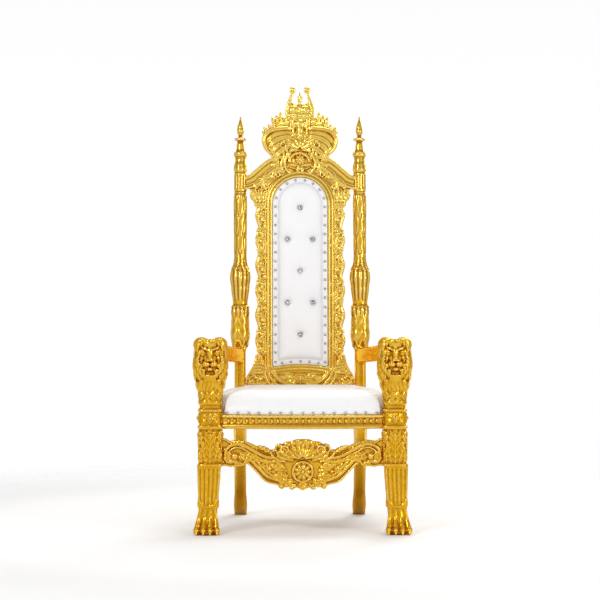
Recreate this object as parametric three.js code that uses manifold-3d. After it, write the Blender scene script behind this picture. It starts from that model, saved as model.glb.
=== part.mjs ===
// A high-backed carved armchair (a throne): gilded wood frame with lion heads on the front legs, turned back posts
// with spires, an arched carved back with a crowned crest, and upholstered seat and back pads.
// Millimetres. +Z is up, the sitter faces -Y, +X is to the right of someone looking at the front.
// The origin is on the floor, under the middle of the chair's bounding box.
import * as THREE from 'three';
import { mergeVertices } from 'three/addons/utils/BufferGeometryUtils.js';
import Module from 'manifold-3d';

const wasm = await Module();
wasm.setup();

// ---- driving dimensions ----
const totalHeight = 1830;
const halfDepth = 380; // toes to the heels of the back legs, halved
const legX = 363; // middle of a front leg
const legY = -290;
const postX = 254; // middle of a back post
const postY = 225; // at the level of the seat
const rakeStart = 560; // the posts lean back above this height
const rake = THREE.MathUtils.degToRad(5);
const railBottom = 412;
const railTop = 466;
const joinGap = 0.4; // left between two pieces that meet
const frameThickness = 40;

// The back's own frame: x across, v up along the lean, depth towards the sitter's back.
const backGroup = new THREE.Group();
backGroup.position.set(0, postY, rakeStart);
backGroup.rotation.x = -rake;
backGroup.updateMatrixWorld(true);

// The upholstered panel in the back: straight sides under a half-round top.
const panelHalf = 119;
const panelBottom = 72;
const panelTop = 885;
const archCentre = panelTop - panelHalf;

// ---- materials ----
const gold = new THREE.MeshStandardMaterial({ color: 0xd9a520, roughness: 0.32, metalness: 0.9 });
const whiteVinyl = new THREE.MeshStandardMaterial({ color: 0xf2f1f3, roughness: 0.45, metalness: 0 });
const crystal = new THREE.MeshStandardMaterial({ color: 0xc9ccd2, roughness: 0.08, metalness: 0.6 });
const board = new THREE.MeshStandardMaterial({ color: 0x9a8464, roughness: 0.8, metalness: 0 });

// ---- solids ----
function solidOf(geometry) {
  const bare = geometry.index ? geometry.toNonIndexed() : geometry.clone();
  const onlyPosition = new THREE.BufferGeometry();
  onlyPosition.setAttribute('position', bare.getAttribute('position'));
  const merged = mergeVertices(onlyPosition, 1e-3);
  return new wasm.Manifold(new wasm.Mesh({
    numProp: 3,
    vertProperties: merged.attributes.position.array,
    triVerts: new Uint32Array(merged.index.array),
  }));
}

function geometryOf(manifold) {
  const mesh = manifold.getMesh();
  const geometry = new THREE.BufferGeometry();
  geometry.setAttribute('position', new THREE.BufferAttribute(new Float32Array(mesh.vertProperties), 3));
  geometry.setIndex(new THREE.BufferAttribute(new Uint32Array(mesh.triVerts), 1));
  geometry.computeVertexNormals();
  return geometry;
}

const join = (geometries) => geometries.map(solidOf).reduce((whole, next) => whole.add(next));

// The largest body left after a cut, so that no loose crumbs stay.
function largestOf(manifold) {
  const bodies = manifold.decompose();
  return bodies.reduce((best, body) => (body.volume() > best.volume() ? body : best));
}

const cut = (whole, ...tools) => largestOf(tools.reduce((rest, tool) => rest.subtract(tool), whole));

function namedMesh(name, geometry, material) {
  const mesh = new THREE.Mesh(geometry, material);
  mesh.name = name;
  return mesh;
}

// A closed surface through a stack of rings with the same number of points. Its faces point outwards.
function skin(rings, loop = false) {
  const n = rings[0].length;
  const points = rings.flat();
  let faces = [];
  const bands = loop ? rings.length : rings.length - 1;
  for (let i = 0; i < bands; i++) {
    const next = (i + 1) % rings.length;
    for (let j = 0; j < n; j++) {
      const k = (j + 1) % n;
      faces.push([i * n + j, i * n + k, next * n + k], [i * n + j, next * n + k, next * n + j]);
    }
  }
  if (!loop) {
    const middle = (ring) => ring.reduce((sum, p) => sum.add(p), new THREE.Vector3()).divideScalar(n);
    const last = (rings.length - 1) * n;
    points.push(middle(rings[0]), middle(rings.at(-1)));
    for (let j = 0; j < n; j++) {
      const k = (j + 1) % n;
      faces.push([points.length - 2, k, j], [points.length - 1, last + j, last + k]);
    }
  }
  const triple = new THREE.Vector3();
  const volume = faces.reduce((sum, [a, b, c]) => sum + points[a].dot(triple.crossVectors(points[b], points[c])), 0);
  if (volume < 0) faces = faces.map(([a, b, c]) => [a, c, b]);
  const geometry = new THREE.BufferGeometry().setFromPoints(points);
  geometry.setIndex(faces.flat());
  geometry.computeVertexNormals();
  return geometry;
}

function mirrored(geometry) {
  const other = geometry.clone().scale(-1, 1, 1);
  const corners = other.index ? other.index.array : other.getAttribute('position').array.keys();
  const index = Array.from(corners).slice(0, other.index ? other.index.count : other.attributes.position.count);
  for (let i = 0; i < index.length; i += 3) [index[i + 1], index[i + 2]] = [index[i + 2], index[i + 1]];
  other.setIndex(index);
  other.computeVertexNormals();
  return other;
}

const bothSides = (geometry) => [geometry, mirrored(geometry)];

// ---- small shape functions ----
// Reads rows of [place, ...values], sorted by place, with straight lines between them.
function readRows(rows, place) {
  const after = rows.findIndex((row) => row[0] > place);
  if (after === 0) return rows[0].slice(1);
  if (after < 0) return rows.at(-1).slice(1);
  const [low, high] = [rows[after - 1], rows[after]];
  const share = (place - low[0]) / (high[0] - low[0]);
  return low.slice(1).map((value, i) => value + (high[i + 1] - value) * share);
}

const bump = (x, middle, width) => Math.exp(-(((x - middle) / width) ** 2));

// A point at this angle on an oval of half sizes a and b. Power 2 is an ellipse, and more is squarer.
function ovalPoint(angle, a, b, power) {
  const c = Math.cos(angle);
  const s = Math.sin(angle);
  const reach = (Math.abs(c) ** power + Math.abs(s) ** power) ** (-1 / power);
  return [a * reach * c, b * reach * s];
}

const evenShares = (steps) => Array.from({ length: steps + 1 }, (_, i) => i / steps);

// A bar that follows a flat curve in the plane of x and z, with a ring at each share of its length.
// section(share, i) gives its outline there as [across, depth] points, where across is measured to the left
// of the way the curve runs.
function sweep(curve, shares, section, loop = false) {
  return skin(shares.map((share, i) => {
    const at = curve.getPointAt(share);
    const along = curve.getTangentAt(share);
    return section(share, i).map(([across, depth]) => new THREE.Vector3(at.x - along.y * across, depth,
      at.y + along.x * across));
  }), loop);
}

const smoothCurve = (points) => new THREE.SplineCurve(points.map(([x, y]) => new THREE.Vector2(x, y)));

// A carved leaf that lies in the plane of x and z and grows up +Z from its root, with notched edges,
// a raised midrib and a tip that curls towards -Y.
function leaf({ length, width, thickness, lobes = 3, curl = 0.25 }) {
  const steps = lobes * 2;
  const rings = [];
  for (let i = 0; i <= steps; i++) {
    const t = i / steps;
    const body = Math.sin(Math.PI * (0.2 + 0.76 * t)) * width / 2;
    const half = Math.max(body * (i % 2 ? 1 : 0.74), 1.5);
    const back = thickness * 0.4 - curl * length * t * t;
    const rib = back - thickness * (1.4 - 0.6 * t);
    rings.push([[-half, back], [0, rib], [half, back]].map(([x, y]) => new THREE.Vector3(x, y, t * length)));
  }
  return skin(rings);
}

// Turns a shape in the plane of the back by an angle to the left of straight up, then puts it in place.
const placed = (geometry, x, z, turnDeg = 0, y = 0) => geometry.clone()
  .rotateY(-THREE.MathUtils.degToRad(turnDeg)).translate(x, y, z);

const ball = (radius, x, y, z, flat = 1, detail = 6) => new THREE.SphereGeometry(radius, detail, Math.max(detail / 2, 4))
  .scale(1, flat, 1).translate(x, y, z);

// A volute: a bar that winds inwards, thinner towards its eye.
function volute({ x, z, radius, turns, startDeg, thick, depth, y, hand = 1, steps = 7 }) {
  const points = [];
  for (let i = 0; i <= steps; i++) {
    const t = i / steps;
    const angle = THREE.MathUtils.degToRad(startDeg) + hand * t * turns * 2 * Math.PI;
    const r = radius * (1 - 0.78 * t);
    points.push([x + r * Math.cos(angle), z + r * Math.sin(angle)]);
  }
  return sweep(smoothCurve(points), evenShares(steps), (t) => {
    const half = thick * (1 - 0.55 * t) / 2;
    return [[-half, y + depth / 2], [0, y - depth / 2], [half, y + depth / 2]];
  });
}

// ---- back posts ----
const postSides = 9;
// [height, half width, half depth, power of the outline]
const postRows = [
  [0, 26, 28, 4], [40, 28.5, 30, 4], [110, 24.5, 27, 4], [240, 25, 28, 5], [404, 28, 33, 6], [560, 23.5, 27, 6],
  [706, 23.5, 27, 6], [724, 29, 29, 3], [756, 37.5, 37.5, 2.4], [804, 35.5, 35.5, 2.3], [878, 34, 34, 2.3],
  [912, 32, 32, 2], [970, 38, 38, 2], [1018, 43, 43, 2], [1045, 37, 37, 2], [1066, 23, 23, 2], [1090, 23, 23, 2],
  [1374, 26, 26, 2], [1379, 23.5, 23.5, 2], [1384, 27.4, 27.4, 2], [1458, 27.4, 27.4, 2], [1463, 24, 24, 2],
  [1470, 28, 28, 2], [1494, 26.5, 26.5, 2], [1518, 21.5, 21.5, 2], [1534, 29, 29, 2], [1546, 29, 29, 2],
  [1552, 18, 18, 2], [1592, 12, 12, 2], [1599, 26.5, 26.5, 2], [1610, 26.5, 26.5, 2], [1617, 7.5, 7.5, 2],
  [1640, 15.5, 15.5, 2], [1704, 1.5, 1.5, 2],
];

// The legs sweep back to the floor, and the posts lean back above the seat.
function postMiddleY(z) {
  const heel = halfDepth - 28;
  if (z < railBottom) return postY + (heel - postY) * ((railBottom - z) / railBottom) ** 1.6;
  return postY + Math.max(0, z - rakeStart) * Math.tan(rake);
}

// Carving on the post: flutes on the bulb, leaves below it and long leaves up the shaft.
function postCarving(angle, z) {
  const bulb = 3.4 * bump(z, 1000, 62) * Math.cos(5 * angle);
  const leaves = 2.2 * bump(z, 812, 70) * Math.cos(4 * angle + z / 16);
  const shaft = z > 1085 && z < 1370 ? 1.8 * Math.cos(4 * angle + z / 30) : 0;
  return bulb + leaves + shaft;
}

function postGeometry(grow = 0) {
  const levels = [...postRows.map((row) => row[0]), 1185, 1280].sort((a, b) => a - b);
  return skin(levels.map((z) => {
    const [a, b, power] = readRows(postRows, z);
    return Array.from({ length: postSides }, (_, j) => {
      const angle = (j + 0.5) * 2 * Math.PI / postSides;
      const carving = grow ? Math.max(postCarving(angle, z), 0) : postCarving(angle, z);
      const [x, y] = ovalPoint(angle, a + carving + grow, b + carving + grow, power);
      return new THREE.Vector3(postX + x, postMiddleY(z) + y, z);
    });
  }));
}

// ---- front legs with the lion heads ----
// [height, middle x, middle y, half width, half depth, power of the outline]
const legRows = [
  [0, 377, -316, 52, 64, 2.8], [30, 376, -313, 51, 60, 2.8], [62, 374, -303, 43, 49, 3],
  [96, 372, -292, 37, 40, 5], [112, 371.5, -291, 40.5, 42, 6], [262, 368, -290, 46, 45, 6],
  [270, 363, -290, 50, 48, 4], [284, legX, legY, 47, 45, 4],
  [404, legX, legY, 47, 46, 4], [414, legX, legY, 50, 48, 5], [430, legX, legY, 50, 48, 5],
  [484, legX, legY, 47, 45, 4], [496, legX, legY, 43, 42, 4],
  [524, legX, -292, 50, 50, 2.6], [580, legX, -297, 57, 62, 2.2], [612, legX, -299, 66, 67, 2.2],
  [628, legX, -300, 70, 68, 2.2], [645, legX, -300, 71, 68, 2.2], [664, legX, -300, 72, 68, 2.2],
  [692, legX, -299, 72.5, 68, 2.2], [718, legX, -298, 72, 67, 2.2],
  [752, legX, -294, 64, 60, 2.3], [774, legX, -291, 40, 38, 2.2],
];
const legSides = 14;
const faceFront = -Math.PI / 2;

// What stands proud of, or is cut into, the leg at this angle from the front and this height.
function legCarving(turn, z) {
  const side = Math.abs(turn);
  if (z < 95) { // four toes and the grooves between them
    return (side < 1.4 ? 12 : 2) * bump(z, 22, 34) * (Math.abs(Math.sin(turn * 3)) - 0.7);
  }
  if (z < 265) return z > 105 ? -2.6 * Math.abs(Math.sin(turn * 5)) : 0; // flutes
  if (z < 515) return 2.2 * Math.cos(turn * 6 + z / 9); // leaves
  const face = bump(turn, 0, 0.62) * bump(z, 668, 52);
  const mouth = -9 * bump(turn, 0, 0.34) * bump(z, 645, 7);
  const eyes = -6 * bump(side, 0.42, 0.2) * bump(z, 700, 9);
  const mane = 6 * (1 - face) * Math.cos(turn * 5 + (turn < 0 ? -1 : 1) * z / 13);
  return mane - 4 * face + mouth + eyes;
}

function legGeometry(grow = 0) {
  return skin(legRows.map(([z, middleX, middleY, a, b, power]) => Array.from({ length: legSides }, (_, j) => {
    const even = (j / legSides) * 2 * Math.PI - Math.PI;
    const turn = even - 0.42 * Math.sin(even); // points lie closer together in front
    const carving = grow ? Math.max(legCarving(turn, z), 0) : legCarving(turn, z);
    const [x, y] = ovalPoint(faceFront + turn, a + carving + grow, b + carving + grow, power);
    return new THREE.Vector3(middleX + x, Math.max(middleY + y, -halfDepth), z);
  })));
}

// The lion's raised features: [x from the middle, y, z, half width, half depth, half height]
const lionFeatures = [
  [36, -292, 762, 20, 18, 18], [-36, -292, 762, 20, 18, 18], // ears
  [0, -360, 676, 15, 18, 32], [0, -362, 662, 25, 20, 13], [0, -356, 628, 19, 18, 11], // nose, muzzle, chin
  [23, -356, 716, 19, 14, 10], [-23, -356, 716, 19, 14, 10], // brows
];

function lionLeg() {
  const features = lionFeatures.map(([x, y, z, a, b, c]) => new THREE.SphereGeometry(1, 6, 3).scale(a, c, b)
    .rotateX(Math.PI / 2).translate(legX + x, y, z));
  return join([legGeometry(), ...features]);
}

// ---- arms ----
const armHigh = 64;
const armWide = 44;

function armGeometry() {
  const path = new THREE.CatmullRomCurve3([
    new THREE.Vector3(legX - 6, -270, 701), new THREE.Vector3(legX - 22, -150, 706),
    new THREE.Vector3(postX + 40, 60, 694), new THREE.Vector3(postX, 236, 686),
  ]);
  const sides = 8;
  return skin(evenShares(6).map((share) => {
    const at = path.getPointAt(share);
    return Array.from({ length: sides }, (_, j) => {
      const [x, z] = ovalPoint((j + 0.5) * 2 * Math.PI / sides, armWide / 2, armHigh / 2, 3.4);
      return new THREE.Vector3(at.x + x, at.y, at.z + z);
    });
  }));
}

// ---- seat frame ----
// The moulding on the outer face of a rail: a fillet, the channel that holds the beads, and a torus below.
const railThick = 36;
const bowFront = 40;
const frontFaceY = -302; // of the front rail at its ends
const railSection = [
  [0, railTop], [0, 455], [-7, 453], [-7, 432], [0, 430], [3, 421], [0, railBottom], [-railThick, railBottom],
  [-railThick, railTop],
];
const beadRadius = 8;
const beadPitch = 25;
const beadHeight = 442.5;

// A rail from one point of the floor plan to another. Its moulding faces left of that way, and it bows out there.
function railGeometry(from, to, bow, steps, beaded) {
  const start = new THREE.Vector2(...from);
  const way = new THREE.Vector2(...to).sub(start);
  const length = way.length();
  way.normalize();
  const out = new THREE.Vector2(-way.y, way.x);
  const faceAt = (t) => start.clone().addScaledVector(way, t * length)
    .addScaledVector(out, bow * Math.sin(Math.PI * t));
  const rings = [];
  for (let i = 0; i <= steps; i++) {
    const at = faceAt(i / steps);
    rings.push(railSection.map(([outwards, z]) => new THREE.Vector3(at.x + out.x * outwards,
      at.y + out.y * outwards, z)));
  }
  const pieces = [skin(rings)];
  const beads = beaded ? Math.floor((length - 120) / beadPitch) : 0;
  for (let i = 0; i < beads; i++) {
    const t = 0.5 + (i - (beads - 1) / 2) * beadPitch / length;
    const at = faceAt(t).addScaledVector(out, -5);
    pieces.push(new THREE.ConeGeometry(beadRadius * 1.2, beadRadius * 1.5, 4).rotateX(-Math.PI / 2)
      .scale(-1, 1, -1).translate(at.x, at.y, beadHeight));
  }
  return join(pieces);
}

// ---- front stretcher ----
const stretcherY = -300;
const stretcherThick = 34;
// Half of its outline, from the middle to the leg: [x, z]
const stretcherTop = [[0, 370], [26, 369], [48, 361], [66, 360], [87, 347], [101, 345], [115, 329], [143, 330],
  [171, 339], [203, 354], [236, 366], [264, 367], [288, 363], [302, 373], [330, 374]];
const stretcherBottom = [[0, 170], [26, 182], [47, 189], [67, 189], [76, 178], [86, 175], [97, 189], [143, 202],
  [175, 234], [203, 263], [224, 277], [238, 266], [262, 264], [284, 262], [304, 266], [330, 264]];

function stretcherSolid() {
  const half = [...stretcherTop.slice(1), ...stretcherBottom.slice(1).reverse()];
  const outline = [stretcherTop[0], ...half, stretcherBottom[0],
    ...half.slice().reverse().map(([x, z]) => [-x, z])];
  const shape = new THREE.Shape(outline.map(([x, z]) => new THREE.Vector2(x, z)));
  const board = new THREE.ExtrudeGeometry(shape, {
    depth: stretcherThick, bevelEnabled: false,
  }).rotateX(Math.PI / 2).translate(0, stretcherY + stretcherThick / 2, 0);
  const frontY = stretcherY - stretcherThick / 2;
  const moulding = smoothCurve([[306, 300], [290, 338], [245, 352], [200, 330], [150, 300], [100, 296], [62, 312]]);
  const scroll = sweep(moulding, evenShares(7), (t) => {
    const half = 9 * (1 - 0.5 * t);
    return [[-half, frontY + 3], [0, frontY - 8], [half, frontY + 3]];
  });
  const lower = sweep(smoothCurve([[214, 282], [178, 258], [140, 222], [100, 208], [78, 196]]), evenShares(4), (t) => {
    const half = 8 * (1 - 0.4 * t);
    return [[-half, frontY + 3], [0, frontY - 7], [half, frontY + 3]];
  });
  const eye = ball(15, 268, frontY + 2, 296, 0.8);
  const leafOf = (length, width) => leaf({ length, width, thickness: 9, lobes: 1, curl: 0.12 });
  const sideLeaves = [[44, 300, -68, 72, 38], [50, 262, -105, 62, 36], [112, 262, -80, 56, 30]]
    .map(([x, z, turn, length, width]) => placed(leafOf(length, width), x, z, turn, frontY - 2));
  const top = [-32, 0, 32].map((turn) => placed(leafOf(50, 30), turn * 0.5, 312, -turn, frontY - 1));
  const medallion = [ball(31, 0, frontY, 246, 0.42, 8), ball(15, 0, frontY - 10, 246, 0.7)];
  const foot = placed(leafOf(42, 40), 0, 218, 180, frontY - 2);
  return join([board, ...[scroll, lower, eye, ...sideLeaves].flatMap(bothSides), ...top, ...medallion, foot]);
}

// ---- carved back ----
// The opening's outline, this far outside the edge of the panel, closed and running anticlockwise. Its lower
// edge is bowed up in the middle.
const panelRise = 12;
function panelOutline(offset) {
  const half = panelHalf + offset;
  const corner = Math.max(8 + offset, 2);
  const bottom = panelBottom - offset;
  const path = new THREE.Path();
  path.moveTo(0, bottom + panelRise);
  path.quadraticCurveTo((half - corner) / 2, bottom + panelRise, half - corner, bottom);
  path.absarc(half - corner, bottom + corner, corner, -Math.PI / 2, 0, false);
  path.lineTo(half, archCentre);
  path.absarc(0, archCentre, half, 0, Math.PI, false);
  path.lineTo(-half, bottom + corner);
  path.absarc(-half + corner, bottom + corner, corner, Math.PI, Math.PI * 1.5, false);
  path.quadraticCurveTo(-(half - corner) / 2, bottom + panelRise, 0, bottom + panelRise);
  return path;
}

// Where the rings around the panel lie: close together at the corners, and one for each lobe of the carving.
const sideLobes = 13;
const panelShares = (() => {
  const ends = panelOutline(0).getCurveLengths();
  const counts = [2, 1, sideLobes, 9, sideLobes, 1, 2];
  return counts.flatMap((count, i) => Array.from({ length: count }, (_, j) => {
    const from = i ? ends[i - 1] : 0;
    return (from + (ends[i] - from) * j / count) / ends.at(-1);
  }));
})();

const frameFront = -frameThickness / 2;
const frameBack = frameThickness / 2;
const bandOuter = 66; // width of the carved frame at its sides

// The frame around the panel: a smooth ogee next to the panel, and a carved leafy band with a lobed edge.
function bandGeometry() {
  return sweep(panelOutline(0), panelShares, (t, i) => {
    const wave = i % 2 ? 1 : -1;
    const edge = bandOuter + 5 * wave;
    return [
      [0, frameBack], [0, frameFront + 6], [-9, frameFront - 4], [-26, frameFront + 4],
      [-44, frameFront - 8 - 3 * wave], [-edge, frameFront + 3], [-edge, frameBack],
    ];
  }, true);
}

// The moulded shoulders carry the top of the frame to the posts. Their path runs from the post to the middle.
const shoulderPath = smoothCurve([[postX, 856], [226, 858], [198, 870], [164, 899], [130, 928], [96, 944],
  [50, 951], [0, 952]]);
const shoulderHalf = (t) => 29 - 4 * t;

function shoulderGeometry() {
  return sweep(shoulderPath, evenShares(10).slice(0, 8), (t) => {
    const half = shoulderHalf(t);
    return [
      [half, frameBack - 2], [half - 6, frameFront - 12], [half - 20, frameFront - 2],
      [-half + 12, frameFront - 10], [-half, frameBack - 2],
    ];
  });
}

// The scrolled corner at the foot of the frame, which meets the post.
function cornerGeometries() {
  const shape = new THREE.Shape();
  shape.moveTo(120, -38);
  shape.lineTo(postX, -38);
  shape.lineTo(postX, 22);
  shape.quadraticCurveTo(226, 44, 206, 62);
  shape.quadraticCurveTo(196, 84, 190, 128);
  shape.lineTo(150, 128);
  shape.lineTo(120, 40);
  const blank = new THREE.ExtrudeGeometry(shape, { depth: frameThickness - 4, bevelEnabled: false, curveSegments: 2 })
    .rotateX(Math.PI / 2).translate(0, frameBack - 1, 0);
  const curl = volute({ x: 204, z: 8, radius: 26, turns: 1, startDeg: 120, thick: 13, depth: 20, y: frameFront,
    hand: -1 });
  const up = placed(leaf({ length: 84, width: 50, thickness: 10, lobes: 1, curl: 0.08 }), 176, 42, -4, frameFront);
  return [blank, curl, up].flatMap(bothSides);
}

// The board under the panel, with its flower.
function footRailGeometries() {
  const boardShape = new THREE.Shape([[-150, -38], [150, -38], [150, 52], [-150, 52]]
    .map(([x, z]) => new THREE.Vector2(x, z)));
  const blank = new THREE.ExtrudeGeometry(boardShape, { depth: frameThickness - 8, bevelEnabled: false })
    .rotateX(Math.PI / 2).translate(0, frameBack - 3, 0);
  const flower = [-60, 0, 60].map((turn) => placed(
    leaf({ length: 42, width: 26, thickness: 8, lobes: 1, curl: 0.15 }), 0, 2, turn, frameFront - 2));
  return [blank, ...flower, ball(11, 0, frameFront - 6, 6, 0.8)];
}

function backFrameSolid() {
  const plain = [bandGeometry(), ...bothSides(shoulderGeometry())];
  const sideLeaf = (length, width) => leaf({ length, width, thickness: 9, lobes: 2, curl: 0.1 });
  const leaves = [[172, 742, -14, 96, 48], [178, 290, -5, 64, 36]]
    .map(([x, z, turn, length, width]) => placed(sideLeaf(length, width), x, z, turn, frameFront - 3));
  return join([...plain, ...cornerGeometries(), ...footRailGeometries(), ...leaves.flatMap(bothSides)]);
}

// ---- crest ----
const crownBase = 1137; // up the lean, as every z in the back's own frame
const ballRadius = 13.5;
const ballHeight = (totalHeight - ballRadius - rakeStart) / Math.cos(rake);
// Right half of the crest's board, from under the crown down to the shoulder: [x, z]
const crestOutline = [[58, 1152], [62, 1128], [96, 1140], [112, 1112], [136, 1098], [152, 1084], [161, 1050],
  [152, 1012], [130, 980], [104, 966], [96, 930], [64, 906], [30, 892]];

function crownGeometries() {
  const band = new THREE.CylinderGeometry(58, 54, 15, 10).rotateX(Math.PI / 2).scale(1, 0.42, 1)
    .translate(0, -6, crownBase + 7);
  const cap = [-25, 25].map((x) => ball(27, x, -6, crownBase + 34, 0.75));
  const middleRows = [[0, 0], [16, 0], [13, 36], [8, 48], [12, 60], [3, 92], [0, 94]];
  const middle = new THREE.LatheGeometry(middleRows.map(([r, h]) => new THREE.Vector2(r, h)), 6)
    .rotateX(Math.PI / 2).translate(0, -8, crownBase + 20);
  const arm = sweep(smoothCurve([[54, crownBase + 4], [57, crownBase + 30], [46, crownBase + 72],
    [35, crownBase + 100], [31, ballHeight]]), evenShares(5), (t) => {
    const half = 9 * (1 - 0.5 * t);
    return [[-half, 4], [-half, -14], [half, -14], [half, 4]];
  });
  const knob = ball(ballRadius, 31, -5, ballHeight, 1, 8);
  return [band, ...cap, middle, ...bothSides(arm), ...bothSides(knob)];
}

// A flat board from the right half of its outline, between two depths.
function slab(half, front, back) {
  const outline = [...half, ...half.slice().reverse().map(([x, z]) => [-x, z])];
  return new THREE.ExtrudeGeometry(new THREE.Shape(outline.map(([x, z]) => new THREE.Vector2(x, z))),
    { depth: back - front, bevelEnabled: false }).rotateX(Math.PI / 2).translate(0, back, 0);
}

// The room that the top of the frame takes behind and under the crest.
function frameRoom() {
  const top = evenShares(10).slice(2).reverse().map((share) => {
    const at = shoulderPath.getPointAt(share);
    const along = shoulderPath.getTangentAt(share);
    const reach = shoulderHalf(share) + 2 * joinGap;
    return [at.x + along.y * reach, at.y - along.x * reach];
  });
  return solidOf(slab([...top, [240, 780]], frameFront - 12 - joinGap, frameBack + joinGap));
}

function crestGeometries() {
  const apronFront = -44; // the lower part of the crest lies over the front of the arch
  const blank = slab(crestOutline, -24, 16);
  const apron = slab([[40, 1062], [84, 1030], [104, 966], [92, 918], [60, 908], [20, 914]], apronFront, -20);
  const wing = sweep(smoothCurve([[40, 1078], [84, 1092], [128, 1084], [152, 1052], [146, 1014], [120, 990],
    [98, 1004], [104, 1026]]), evenShares(8), (t) => {
    const half = 14 - 5 * t;
    return [[-half, 10], [0, -46], [half, 10]];
  });
  const plumes = [[64, 1092, -8, 76], [84, 1092, -18, 78], [104, 1086, -34, 58], [128, 1072, -56, 40]]
    .map(([x, z, turn, length]) => placed(
      leaf({ length, width: 28, thickness: 12, lobes: 1, curl: 0.06 }), x, z, turn, -12));
  const under = placed(leaf({ length: 96, width: 34, thickness: 12, lobes: 1, curl: 0 }), 64, 1030, -160, apronFront);
  const shell = [-48, 0, 48].map((turn) => placed(
    leaf({ length: 66, width: 34, thickness: 16, lobes: 1, curl: -0.1 }), 0, 1040, turn, -36));
  const rosette = [ball(25, 0, apronFront, 957, 0.4), ball(11, 0, apronFront - 9, 957, 0.7)];
  const foot = volute({ x: 17, z: 926, radius: 15, turns: 1, startDeg: -90, thick: 9, depth: 14, y: apronFront - 2,
    steps: 6 });
  return [blank, apron, ...[wing, ...plumes, under, foot].flatMap(bothSides), ...shell, ...rosette];
}

// ---- pads and panel ----
const padDepth = 30; // of the back pad, where it is highest

// A slab inside the frame's opening, from rows of [inset, depth]. Its edge keeps joinGap from the frame.
function panelGeometry(rows) {
  const edge = panelOutline(0);
  return skin(rows.map(([inset, depth]) => {
    const inner = panelOutline(-inset);
    return panelShares.map((share) => {
      const p = inset ? inner.getPointAt(share) : edge.getPointAt(share);
      const along = edge.getTangentAt(share);
      const gap = inset ? 0 : joinGap;
      return new THREE.Vector3(p.x - along.y * gap, depth, p.y + along.x * gap);
    });
  }));
}

const buttonRadius = 11;
const buttonThick = 9;
const buttonPitch = 135;
const buttonMiddle = 482;
const buttonPlaces = [[0, 2], [-1, 1], [1, 1], [0, 0], [-1, -1], [1, -1], [0, -2]];
const buttonSpread = 53;

function buttonGeometry(x, z) {
  return new THREE.CylinderGeometry(buttonRadius, buttonRadius * 0.6, buttonThick, 6)
    .translate(x, -padDepth - joinGap - buttonThick / 2, z);
}

// The seat pad's plan keeps clear of the front legs, runs along the rails and ends in front of the posts.
const seatBack = 188;
const seatPlan = (() => {
  const inner = legX - 54;
  const behindLeg = legY + 54;
  const front = (x) => frontFaceY - bowFront * Math.cos(Math.PI * x / (2 * legX));
  const right = [...[75, 150, 225, 280].map((x) => [x, front(x) + 3]), [inner - 2, front(inner) + 8],
    [inner, behindLeg], [legX - 8, behindLeg], [legX, behindLeg + 10], [postX + 24, seatBack - 14],
    [postX + 12, seatBack]];
  return [[0, front(0) + 3], ...right, [0, seatBack], ...right.slice().reverse().map(([x, y]) => [-x, y])];
})();

const boardThick = 12;
const boardInset = 0.94;
const seatMiddleY = -60;

// A slab of the seat's plan, from rows of [height, scale].
const seatSlab = (rows) => skin(rows.map(([z, scale]) => seatPlan.map(([x, y]) => new THREE.Vector3(x * scale,
  seatMiddleY + (y - seatMiddleY) * scale, z))));

function seatPadSolid() {
  const foam = seatSlab([[railTop + joinGap, 0.99], [482, 1], [512, 0.995], [542, 0.94], [559, 0.74]]);
  const room = seatSlab([[railTop - 5, boardInset + 0.002], [railTop + boardThick + 2 * joinGap, boardInset + 0.002]]);
  return solidOf(foam).subtract(solidOf(room));
}

const seatBoardGeometry = () => seatSlab([[railTop + joinGap, boardInset], [railTop + joinGap + boardThick, boardInset]]);

// ---- assembly ----
const throne = new THREE.Group();
throne.add(backGroup);

const toBack = backGroup.matrixWorld.clone().invert();
const grownPosts = bothSides(postGeometry(joinGap));
const postTools = grownPosts.map(solidOf);
const leaningPostTools = grownPosts.map((geometry) => solidOf(geometry.clone().applyMatrix4(toBack)));
const legTools = bothSides(legGeometry(joinGap)).map(solidOf);

function addPair(name, geometry, material) {
  const [right, left] = bothSides(geometry);
  throne.add(namedMesh(`${name}_right`, right, material), namedMesh(`${name}_left`, left, material));
}

const addPiece = (name, manifold, material) => throne.add(namedMesh(name, geometryOf(manifold), material));
const addToBack = (name, geometry, material) => backGroup.add(namedMesh(name, geometry, material));

addPair('back_post', postGeometry(), gold);
addPair('front_leg', geometryOf(lionLeg()), gold);
addPair('arm', geometryOf(cut(solidOf(armGeometry()), postTools[0], legTools[0])), gold);

const railEndY = postY + 14;
const frontRail = railGeometry([legX, frontFaceY], [-legX, frontFaceY], bowFront, 6, true);
const sideRail = railGeometry([postX + 16, postY], [legX + 16, legY], 5, 2, false);
const backRail = railGeometry([-postX, railEndY], [postX, railEndY], 0, 1, false);
addPiece('seat_rail_front', cut(frontRail, ...legTools), gold);
addPair('seat_rail', geometryOf(cut(sideRail, legTools[0], postTools[0])), gold);
addPiece('seat_rail_back', cut(backRail, ...postTools), gold);
addPiece('front_stretcher', cut(stretcherSolid(), ...legTools), gold);
addPiece('seat_pad', seatPadSolid(), whiteVinyl);
throne.add(namedMesh('seat_board', seatBoardGeometry(), board));

addToBack('back_frame', geometryOf(cut(backFrameSolid(), ...leaningPostTools)), gold);
addToBack('crest', geometryOf(cut(join([...crestGeometries(), ...crownGeometries()]), frameRoom())), gold);
addToBack('back_pad', panelGeometry([[0, 6], [0, -11], [14, -21], [46, -padDepth]]), whiteVinyl);
addToBack('rear_panel', panelGeometry([[0, frameBack - 2], [0, 6 + joinGap]]), board);
buttonPlaces.forEach(([side, row], i) => addToBack(`back_button_${i + 1}`,
  buttonGeometry(side * buttonSpread, buttonMiddle + row * buttonPitch), crystal));

export default throne;
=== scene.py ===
# A carved and gilded throne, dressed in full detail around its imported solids.
# Shapes are worked out in millimetres in the row's frame: X to the right, the sitter faces -Y, Z up.
import math

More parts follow.
